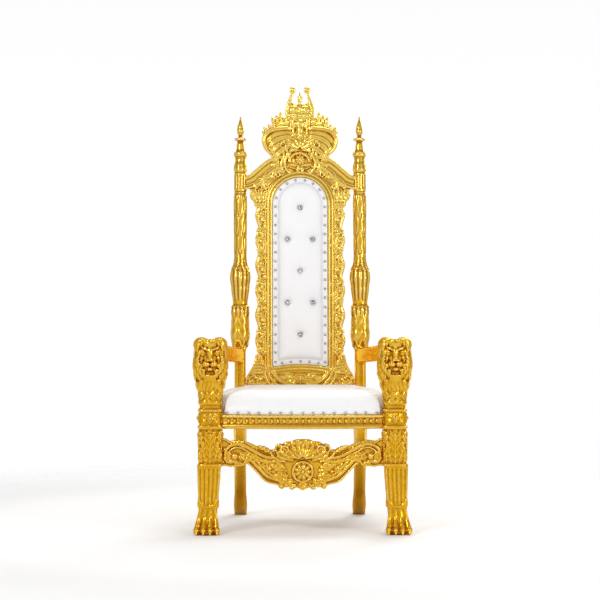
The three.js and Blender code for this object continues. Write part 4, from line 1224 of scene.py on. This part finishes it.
def evenly(points, count, ease):
    # a closed line at equal steps, its corners eased over this length
    fine = 1600
    closed = np.concatenate([points, points[:1]])
    run = np.concatenate([[0], np.cumsum(np.hypot(*np.diff(closed, axis=0).T))])
    places = np.linspace(0, run[-1], fine, endpoint=False)
    line = np.stack([np.interp(places, run, values) for values in closed.T], 1)
    width = ease / run[-1] * fine
    offsets = np.arange(-int(width * 2) - 1, int(width * 2) + 2)
    weights = np.exp(-(offsets / max(width, 0.5)) ** 2)
    line = sum(w * np.roll(line, o, axis=0) for w, o in zip(weights / weights.sum(), offsets))
    return line[(np.arange(count) * fine / count).astype(int)]


def panelLine(inset, count):
    # the panel's edge moved in by inset: two sides, a half circle over them, a bowed foot, eased corners
    half = panel["half"] - inset
    foot = panel["bottom"] + inset
    centre = panel["top"] - panel["half"]
    turn = np.linspace(0, pi, 200)
    x = np.linspace(-half, half, 120)
    bow = np.stack([x, foot + panel["rise"] * (1 - (x / half) ** 2)], 1)
    points = np.concatenate([
        bow[60:], np.stack([np.full(300, half), np.linspace(foot, centre, 300)], 1),
        np.stack([half * np.cos(turn), centre + half * np.sin(turn)], 1),
        np.stack([np.full(300, -half), np.linspace(centre, foot, 300)], 1), bow[:60]])
    return evenly(points, count, max(panel["corner"] - inset * 0.2, 3))


def outwardOf(line):
    # the outward direction at each point of a closed line
    step = np.roll(line, -1, 0) - np.roll(line, 1, 0)
    return np.stack([step[:, 1], -step[:, 0]], 1) / np.hypot(*step.T)[:, None]


def bandWave(wave, v):
    # a wave of the height v that has its crest, or for the sine its middle, at each lobe
    return wave(2 * pi * (v - back["lobeFirst"]) / back["lobePitch"])


def mouldingShape():
    # the section carried round the panel; its outer edge swells in lobes by the cosine of the height
    line = panelLine(0, back["steps"])
    section = np.array(back["section"])[None]
    wave = back["lobeDepth"] * bandWave(np.cos, line[:, 1]) * (np.abs(line[:, 0]) > panel["half"] - 3)
    across = section[..., 0] + wave[:, None] * smoothStep(44, 60, section[..., 0])
    # above the pad the moulding is only 26 wide, since the crest stands in front of it
    narrow = smoothStep(830, 868, line[:, 1])[:, None]
    across = across * (1 - narrow) + np.minimum(across, 26) * narrow
    return toBack(swept(line, outwardOf(line), across, section[..., 1], ends=False))


def bandCarving():
    # a vine winds up the band as a sine of the height; big leaves reach out at each lobe, and curls with a
    # flower fill the hollows between them
    v = np.linspace(*back["vine"], 260)
    shapes = [stemShape(np.stack([155 + 9 * bandWave(np.sin, v), v], 1), 4.8, 8.0, 13)]
    low, high = back["bandLeaves"]
    for k in range(2 * back["lobes"]):
        v = back["lobeFirst"] + back["lobePitch"] / 2 * k
        if not low < v < high:
            continue
        flip = 1 if k % 4 < 2 else -1
        if k % 2 == 0:
            shapes += scrolls([[152, v - 30 * flip, 90 * flip + 10, 74, flip * -330, 11, 18, 1.5]])
            shapes.append(beadShape((166, v + 6 * flip), 8, 20, 1.0))
        else:
            shapes += scrolls([[160, v + 24 * flip, -90 * flip - 10, 60, flip * 330, 10, 17, 1.5]])
            shapes.append(flowerShape((152, v), 15, 5, 17, 10))
        for x, up, angle, length, width, turn, lift in back["hollow" if k % 2 else "lobe"]:
            shapes.append(leafShape((x, v + up * flip), angle * flip, length, width, 2, turn * flip, out=12,
                                    thick=12, lift=lift))
    return shapes


def capitalShapes():
    shapes = leaves(back["capital"], lobes=3, out=13, lift=0.34, thick=11)
    for v, low, high, half in back["necks"]:
        line = np.stack([np.linspace(low, high, 12), np.full(12, v)], 1)
        shapes.append(stemShape(line, half, half + 5.0, 14))
    # the spandrel between the arch and the shoulder
    shapes.append(slabShape(back["spandrel"], -18, 9))
    shapes += leaves(back["spandrelLeaves"], out=10, lift=0.16, thick=14)
    return shapes + scrolls([[196, 850, 160, 104, 330, 12, 14, 1.4], [132, 836, 70, 70, -300, 11, 15, 1.5],
                             [108, 904, 160, 56, 300, 10, 15, 1.5]])


def shoulderShapes():
    # the path runs inwards, so its left side is the underside
    line = smoothLine(back["shoulder"], 60)
    heading = headingOf(line)
    stems = ((0, 25, 15, -4), (-22, 8.5, 12, 10), (10, 3, 6, 9), (22, 5.5, 10, 11))
    return [stemShape(line + leftOf(heading) * shift, half, high, out, 20, heading)
            for shift, half, high, out in stems]


def cornerShapes():
    outer = smoothLine(back["corner"][3:9], 40)
    shapes = [slabShape(back["corner"], -19, 10),
              stemShape(outer - [3, 0], 4.5, 7.0, 11, heading=headingOf(outer))]
    for k in range(5):
        v = 46 + 13 * k
        line = [[146, v - 4], [172, v + 3], [216 - 7 * k, v + 1]]
        shapes.append(stemShape(smoothLine(line, 24), 5.2, 9.0, 11))
    for line, half in back["cornerStems"]:
        shapes.append(stemShape(smoothLine(line, 50), half, half + 3.0, 12, 16))
    shapes += scrolls([[178, 16, 84, 118, -400, 12, 15, 1.15], [232, 6, 130, 40, -200, 9, 12, 1.4]])
    shapes += [flowerShape((163, 50), 13, 6, 13, 9), beadShape((163, 50), 5, 20, 1.0)]
    return shapes + leaves(back["cornerLeaves"], out=11, lift=0.2, thick=11)


def footShapes():
    middle = (0, 22)
    shapes = [slabShape(back["foot"], -19, 9), flowerShape(middle, 25, 8, 11, 12),
              beadShape(middle, 7, 24, 0.8)]
    rows = [(20, 24, angle, 46, 28, 3, turn) for angle, turn in ((10, 20), (-26, 20), (44, -30), (-64, 10))]
    return shapes + bothSides(leaves(rows, out=10, lift=0.2, thick=11)) \
        + [leafShape((0, 0), -90, 34, 30, 3, out=10, thick=11)]


def makeFrame():
    moulding = objectOf("back_moulding", [mouldingShape()])
    shapes = bothSides(bandCarving() + capitalShapes() + shoulderShapes() + cornerShapes()) + footShapes()
    carving = carvedOf("back_carving", [toBack(s) for s in shapes], back["voxel"])
    for made, share in ((moulding, 0.6), (carving, 0.9)):
        markRecess(made, share)
        tonedBy(made, *back["tone"])
    thinned(carving, back["most"])
    finished(moulding, "gold_leaf", paleGold)
    finished(carving, "gold_leaf", paleGold, "back_frame")


makeFrame()


print("crest")
crest = {
    "voxel": 1.9, "most": 125000, "crownBase": 1137, "rosette": (0, 957),
    "outline": [
        [0, 1150], [58, 1150], [62, 1124], [96, 1126], [112, 1108], [134, 1092], [150, 1076], [158, 1050],
        [150, 1014], [130, 984], [108, 968], [98, 930], [70, 908], [30, 894], [0, 892]],
    "raised": [
        [-58, 1142], [58, 1142], [66, 1100], [120, 1070], [132, 1030], [110, 990], [60, 960], [-60, 960],
        [-110, 990], [-132, 1030], [-120, 1070], [-66, 1100]],
    "mounds": [(0, 1060, 34, 44, 24), (0, 1000, 62, 46, 28), (0, 950, 66, 44, 26), (0, 1112, 46, 34, 22)],
    "wing": [
        [34, 1092], [52, 1094], [76, 1093], [104, 1090], [134, 1078], [153, 1052], [151, 1026],
        [142, 1002], [126, 984]],
    "feathers": [  # line, half width, out
        ([[30, 1070], [58, 1075], [98, 1070], [130, 1052], [141, 1026]], 10, 5),
        ([[28, 1052], [56, 1057], [92, 1048], [120, 1028], [131, 1000]], 12, 8),
        ([[28, 1032], [56, 1035], [86, 1024], [110, 1004], [122, 978]], 13, 12),
        ([[30, 1010], [52, 1012], [76, 1000], [96, 980], [106, 960]], 12, 15)],
    "plumes": [  # foot, heading, length, width, thickness
        [64, 1094, 91, 54, 17, 13], [79, 1092, 89, 80, 18, 15], [94, 1092, 86, 66, 18, 13],
        [107, 1088, 80, 62, 17, 13], [121, 1078, 73, 40, 18, 12], [135, 1070, 62, 40, 17, 12],
        [142, 1060, 54, 32, 15, 12]],
    "streams": [  # line, half width, out
        ([[46, 1030], [58, 1008], [52, 982], [64, 952], [62, 926], [48, 904], [36, 906]], 7.5, 16),
        ([[60, 1024], [72, 1000], [68, 972], [80, 944], [78, 920], [64, 908]], 7, 12)],
    "leaves": [  # across, up, angle, length, width, lobes, turn, out
        (120, 1004, 236, 40, 24, 1, 20, 12), (104, 992, 246, 38, 22, 1, 20, 12),
        (136, 1020, 240, 40, 20, 1, 20, 10), (84, 984, -40, 48, 28, 2, 40, 8),
        (88, 956, -50, 44, 26, 2, 50, 8), (82, 930, -40, 40, 24, 2, 50, 9),
        (58, 912, -20, 40, 22, 2, 60, 10), (48, 1108, 10, 50, 28, 2, -40, 9),
        (30, 1120, 0, 40, 24, 2, -30, 10), (6, 932, 4, 44, 18, 1, 10, 24),
        (60, 1100, 30, 44, 24, 2, -40, 6), (40, 1030, -96, 60, 26, 2, 20, 15),
        (38, 984, -80, 52, 24, 2, -20, 18), (10, 1062, 160, 30, 20, 1, -60, 18)],
    "scrolls": [
        [2, 928, -30, 62, -340, 9, 26, 1.5], [20, 1100, 30, 76, 330, 10, 16, 1.5],
        [96, 962, -50, 60, 300, 9, 14, 1.5], [62, 1036, 10, 92, -420, 9, 24, 1.3]],
    "bars": [(31, 1056, 1132, 5), (42, 1084, 1136, 4)],  # across, from and to height, half width
    # the crown's heights are over its base
    "band": [[-4, 50], [0, 57], [3, 58], [5, 55], [11, 54.5], [13, 58], [17, 58], [20, 53], [24, 50]],
    "cap": [[-48, 10], [48, 10], [46, 58], [40, 74], [24, 66], [0, 62], [-24, 66], [-40, 74], [-46, 58]],
    "arm": [[54, 14], [54, 40], [48, 66], [38, 92], [32, 116]],
    "innerArm": [[44, 16], [42, 40], [40, 62], [44, 74]],
    "spindle": [
        [0, 9], [24, 9], [30, 6], [44, 6.5], [52, 9], [58, 6], [66, 5.5], [78, 9], [84, 5], [96, 5.5],
        [104, 4], [119, 1]],
}


def crownShapes():
    # a band that is rounder in front, two swelling caps, and arms that carry a ball each
    base = crest["crownBase"]
    angle = circle(64)

    def turned(profile, depth, out):
        up, radius = np.array(profile, float).T[..., None]
        return gridShape(np.stack([radius * np.cos(angle), base + up + 0 * angle,
                                   out + radius * depth * np.sin(angle)], -1))

    cap = [[x, base + up] for x, up in crest["cap"]]
    shapes = [turned(crest["band"], 0.36, 0), slabShape(cap, -8, 2)]
    for k in range(9):
        a = math.radians(10 + 20 * k)
        shapes.append(beadShape((53 * math.cos(a), base + 8), 4.6, 20 * math.sin(a), 1.0))
    for s in (-1, 1):
        cap, faces = ellipsoid((0, 0, 0), (24, 23, 17), rows=16, cols=30)
        ribs = 1 + 0.06 * np.cos(7 * np.arctan2(cap[:, 2], cap[:, 0]))[:, None]
        arm, inner = (smoothLine([[s * x, base + up] for x, up in crest[key]], count)
                      for key, count in (("arm", 40), ("innerArm", 24)))
        half = alongShare(40, [0, 0.6, 1], [8, 7, 5.4])
        ball = (s * 31, base + 124)
        shapes += [turnedOut(cap * ribs + [s * 24, base + 36, 4], faces), stemShape(arm, half, half, 4),
                   stemShape(inner, 4.0, 5.0, 6, 10), ringShape(ball, 10, 4.6, 6.5, 4, 40, 10),
                   beadShape(ball, 4.5, 6, 0.8),
                   leafShape((s * 50, base + 30), 90 + s * 6, 40, 16, 2, out=6, thick=9, lift=0)]
    shapes.append(turned(crest["spindle"], 1, 5))
    rows = [(0, base + 70, 90, 40, 16, 1), (0, base + 78, 60, 24, 10, 1), (0, base + 78, 120, 24, 10, 1)]
    return shapes + leaves(rows, out=4, thick=6, lift=0) \
        + [leafShape((0, base + 16), 90, 44, 22, 2, out=12, thick=9, lift=0)]


def crestShapes():
    shapes = [slabShape(mirroredLine(crest["outline"]), -16, 8), slabShape(crest["raised"], 0, 12)]
    for x, v, a, b, c in crest["mounds"]:
        mound, faces = ellipsoid((x, v, 0), (a, b, c))
        shapes.append((mound * [1, 1, 0] + np.maximum(mound, -14) * [0, 0, 1], faces))
    taper = alongShare(110, [0, 0.12, 0.75, 1], [0.5, 1, 1, 0.55])
    half = [stemShape(smoothLine(crest["wing"], 110), 9.5 * taper, 15 * taper, 14, 16)]
    # feathers sweep out from the middle under the bar of the wing, each lower row standing further forward
    point = alongShare(50, [0, 0.2, 0.7, 0.9, 1], [0.5, 1, 1, 0.7, 0.15])
    for line, size, out in crest["feathers"]:
        half.append(stemShape(smoothLine(line, 50), size * point, (size * 0.7 + 3) * point, out, 16))
    half += [featherShape((x, v), *rest) for x, v, *rest in crest["plumes"]]
    # two streams of leaf run down beside the middle, and curl out at the foot
    point = alongShare(60, [0, 0.2, 0.8, 1], [0.5, 1, 0.9, 0.3])
    for line, size, out in crest["streams"]:
        half.append(stemShape(smoothLine(line, 60), size * point, (size + 4) * point, out, 14))
    half += leaves(crest["leaves"], lift=0.14, thick=12) + scrolls(crest["scrolls"])
    for x, low, high, size in crest["bars"]:
        line = smoothLine([[x, high], [x - 3, (low + high) / 2], [x + 1, low]], 30)
        half.append(stemShape(line, size, size + 4.0, 15))
    hood, heading = curlPath((40, 946), 96, 128, 170, 1.0, 60)
    rosette = crest["rosette"]
    shapes += bothSides(half) + [
        stemShape(hood, 6.0, 10.0, 28, heading=heading), flowerShape(rosette, 25, 8, 24, 12),
        beadShape(rosette, 8, 34, 0.7), fanShape((0, 996), 50, 7, 210, 25, 15, 0.2),
        fanShape((0, 1002), 28, 5, 190, 34, 11, 0.2),
        leafShape((0, 1034), 90, 46, 36, 2, out=21, thick=14, lift=0.1),
        ellipsoid((0, 1112, 10), (25, 24, 17)), ellipsoid((0, 1084, 10), (18, 34, 19))]
    return [toBack(s) for s in shapes + crownShapes()]


carvedPiece("carved_crest", crestShapes(), crest, "crest")


print("pads")
pad = {
    "seatVoxel": 6.5, "backVoxel": 6.5 * 0.85, "seatCap": 9, "backCap": 7, "frames": 20, "fill": 0.85,
    "cloth": {"quality": 5, "mass": 0.4, "tension_stiffness": 12, "compression_stiffness": 12,
              "bending_stiffness": 2, "use_pressure": True, "uniform_pressure_force": 4},
    "half": 313, "front": -299, "bow": 40, "middle": np.array([0, -60.0]), "hollow": 479.5,
    "behind": [[313, -236], [363, -226], [278, 174], [262, 188], [0, 188]],
    "seatRows": [  # height, share of the plan
        [466.4, 0.975], [470, 0.985], [482, 0.99], [512, 0.99], [534, 0.975], [548, 0.935], [555, 0.84],
        [558, 0.6], [559, 0.3]],
    "backRows": [  # inset, depth
        [0.6, 8], [0.6, -9], [3, -11.5], [12, -13.5], [20, -18], [32, -22.5], [60, -24.5]],
    "nailHalf": 5.6, "nailHeight": 476, "seatPitch": 42, "backPitch": 38.7, "nailInset": 14, "nailOut": 17.5,
    "buttons": [[0, 2], [-1, 1], [1, 1], [0, 0], [-1, -1], [1, -1], [0, -2]],
    "buttonRow": 135, "buttonStep": 53, "buttonMiddle": 482,
    # radius, height, twist
    "facets": [(7, 0, 0), (10.6, 3, 0), (10.6, 4.4, 0), (7.6, 8, pi / 8), (4.4, 9.6, 0)],
}
buttonSpots = [(across * pad["buttonStep"], pad["buttonMiddle"] + row * pad["buttonRow"])
               for across, row in pad["buttons"]]


def inflated(name, shape, voxel, cap, pinned):
    # a pad of small squares blown up by the pressure inside it; pinned points stay where the nails hold them
    made = modified(objectOf(name, [shape]), "REMESH", mode="VOXEL", voxel_size=voxel * 0.001)
    before = pointsOf(made)
    group = made.vertex_groups.new(name="held")
    group.add(np.flatnonzero(pinned(before)).tolist(), 1.0, "REPLACE")
    settings = made.modifiers.new("Cloth", "CLOTH").settings
    for key, value in pad["cloth"].items():
        setattr(settings, key, value)
    settings.effector_weights.gravity = 0
    settings.vertex_group_mass = "held"
    for step in range(1, pad["frames"] + 1):
        scene.frame_set(step)
    shown = made.evaluated_get(bpy.context.evaluated_depsgraph_get())
    shift = readAll(shown.data.vertices, "co", width=3) * 1000.0 - before
    far = np.linalg.norm(shift, axis=1, keepdims=True)
    made.modifiers.clear()
    scene.frame_set(1)
    setPoints(made, before + shift * np.minimum(1, cap / np.maximum(far, 1e-6)))
    return modified(made, "SMOOTH", factor=0.5, iterations=3)


def seatLine(count):
    # the pad's plan: a bowed front, notches behind the lion legs, sides that close towards the posts
    x = np.linspace(0, pad["half"], 60)
    front = pad["front"] - pad["bow"] * np.cos(pi * x / (2 * throne["legX"]))
    return evenly(mirroredLine(np.concatenate([np.stack([x, front], 1), pad["behind"]])), count, 4)


def inPlan(line, share):
    return pad["middle"] + (line - pad["middle"]) * share


def makePads():
    rings = [np.c_[inPlan(seatLine(260), share), np.full(260, z)] for z, share in pad["seatRows"]]
    seat = inflated("seat_cushion", gridShape(np.array(rings)), pad["seatVoxel"], pad["seatCap"],
                    lambda points: points[:, 2] < 480)
    # the underside is hollowed where it lies over the board
    points = pointsOf(seat)
    x, y, z = points.T
    inside = (z < 482) & (np.abs(x) < 250) & (y < 165) & (y > -300)
    points[inside, 2] = np.maximum(points[inside, 2], pad["hollow"])
    setPoints(seat, points)
    rings = [np.c_[panelLine(inset, 260), np.full(260, -depth)] for inset, depth in pad["backRows"]]
    rest = inflated("back_cushion", toBack(gridShape(np.array(rings))), pad["backVoxel"], pad["backCap"],
                    lambda points: fromBack(points)[:, 2] < 12)
    dimple(rest)
    for made, node in ((seat, "seat_pad"), (rest, "back_pad")):
        finished(made, "white_vinyl", vinyl, node)
        print(made.name, "triangles", trianglesOf(made))


def dimple(made):
    # each button draws the vinyl in by the bell curve of the distance, and so does each nail near the edge
    p = fromBack(pointsOf(made))
    down = np.zeros(len(p))
    for x, v in buttonSpots:
        far = np.hypot(p[:, 0] - x, p[:, 1] - v)
        down += 9 * bump(far, 0, 15) + 3.5 * bump(far, 0, 38)
    line = panelLine(0, 400)
    inset = np.concatenate([np.hypot(*(part[:, None, :2] - line[None]).transpose(2, 0, 1)).min(1)
                            for part in np.array_split(p, 20)])
    valley = bump(inset, 25, 6)
    front = p[:, 2] > 8
    p[:, 2] -= (down + 4 * valley) * front
    setPoints(made, toBack((p, []))[0])
    # painted shade in the valley inside the nails, on a broad band inward of it, and in each button's dimple
    shade = 0.45 * valley + 0.4 * bump(inset, 25, 20) * (inset > 25) + down / 26
    marked(made, "recess", front * np.clip(shade, 0, 1))


def domeShape(spot, out, side):
    # an upholstery nail: eight sides and three rings
    half = pad["nailHalf"]
    up = np.cross(out, side)
    fall = np.array([0.25, 0.8, 1.35, 1.8])[:, None]
    turn = circle(8)
    a, b = half * np.sin(fall) * np.cos(turn), half * np.sin(fall) * np.sin(turn)
    c = half * 0.62 * np.cos(fall) + 0 * turn
    return gridShape(np.array(spot) + a[..., None] * side + b[..., None] * up + c[..., None] * out)


def alongLine(line, pitch):
    # spots at near a pitch round a closed line, with the outward direction at each
    total = np.hypot(*(np.roll(line, -1, 0) - line).T).sum()
    picks = (np.arange(int(round(total / pitch))) * len(line) / round(total / pitch)).astype(int)
    return line[picks], outwardOf(line)[picks]


def makeTrim():
    spots, outs = alongLine(inPlan(seatLine(600), 0.99), pad["seatPitch"])
    # none where the front legs stand in the pad's notches, or along the back
    keep = (spots[:, 1] < 150) & ((np.abs(spots[:, 0]) < 303) | (spots[:, 1] > -215))
    nails = [domeShape([x, y, pad["nailHeight"]], np.array([nx, ny, 0]), np.array([-ny, nx, 0]))
             for (x, y), (nx, ny) in zip(spots[keep] + outs[keep] * 4, outs[keep])]
    for x, v in alongLine(panelLine(pad["nailInset"], 800), pad["backPitch"])[0]:
        place = toBack((np.array([[x, v, pad["nailOut"]]]), []))[0][0]
        nails.append(domeShape(place, np.array([0, -leanCos, leanSin]), sidewards))
    finished(objectOf("silver_nails", nails), "crystal", silver)
    # buttons: a cut crown of eight facets over a girdle
    turn = circle(8)[0]
    rings = [np.c_[radius * np.cos(turn + twist), radius * np.sin(turn + twist), np.full(8, height)]
             for radius, height, twist in pad["facets"]]
    points, faces = gridShape(np.array(rings))
    for k, (x, v) in enumerate(buttonSpots, 1):
        stone = objectOf("crystal_button_%d" % k, [toBack((points + [x, v, 19], faces))])
        stone.data.polygons.foreach_set("use_smooth", np.zeros(len(stone.data.polygons), bool))
        finished(stone, "crystal", crystal, "back_button_%d" % k)


makePads()
makeTrim()


for name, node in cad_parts.items():
    if not node.hide_render:
        node.data.materials.clear()
        node.data.materials.append(board if name in ("rear_panel", "seat_board") else gold)
        print("carried over", name)
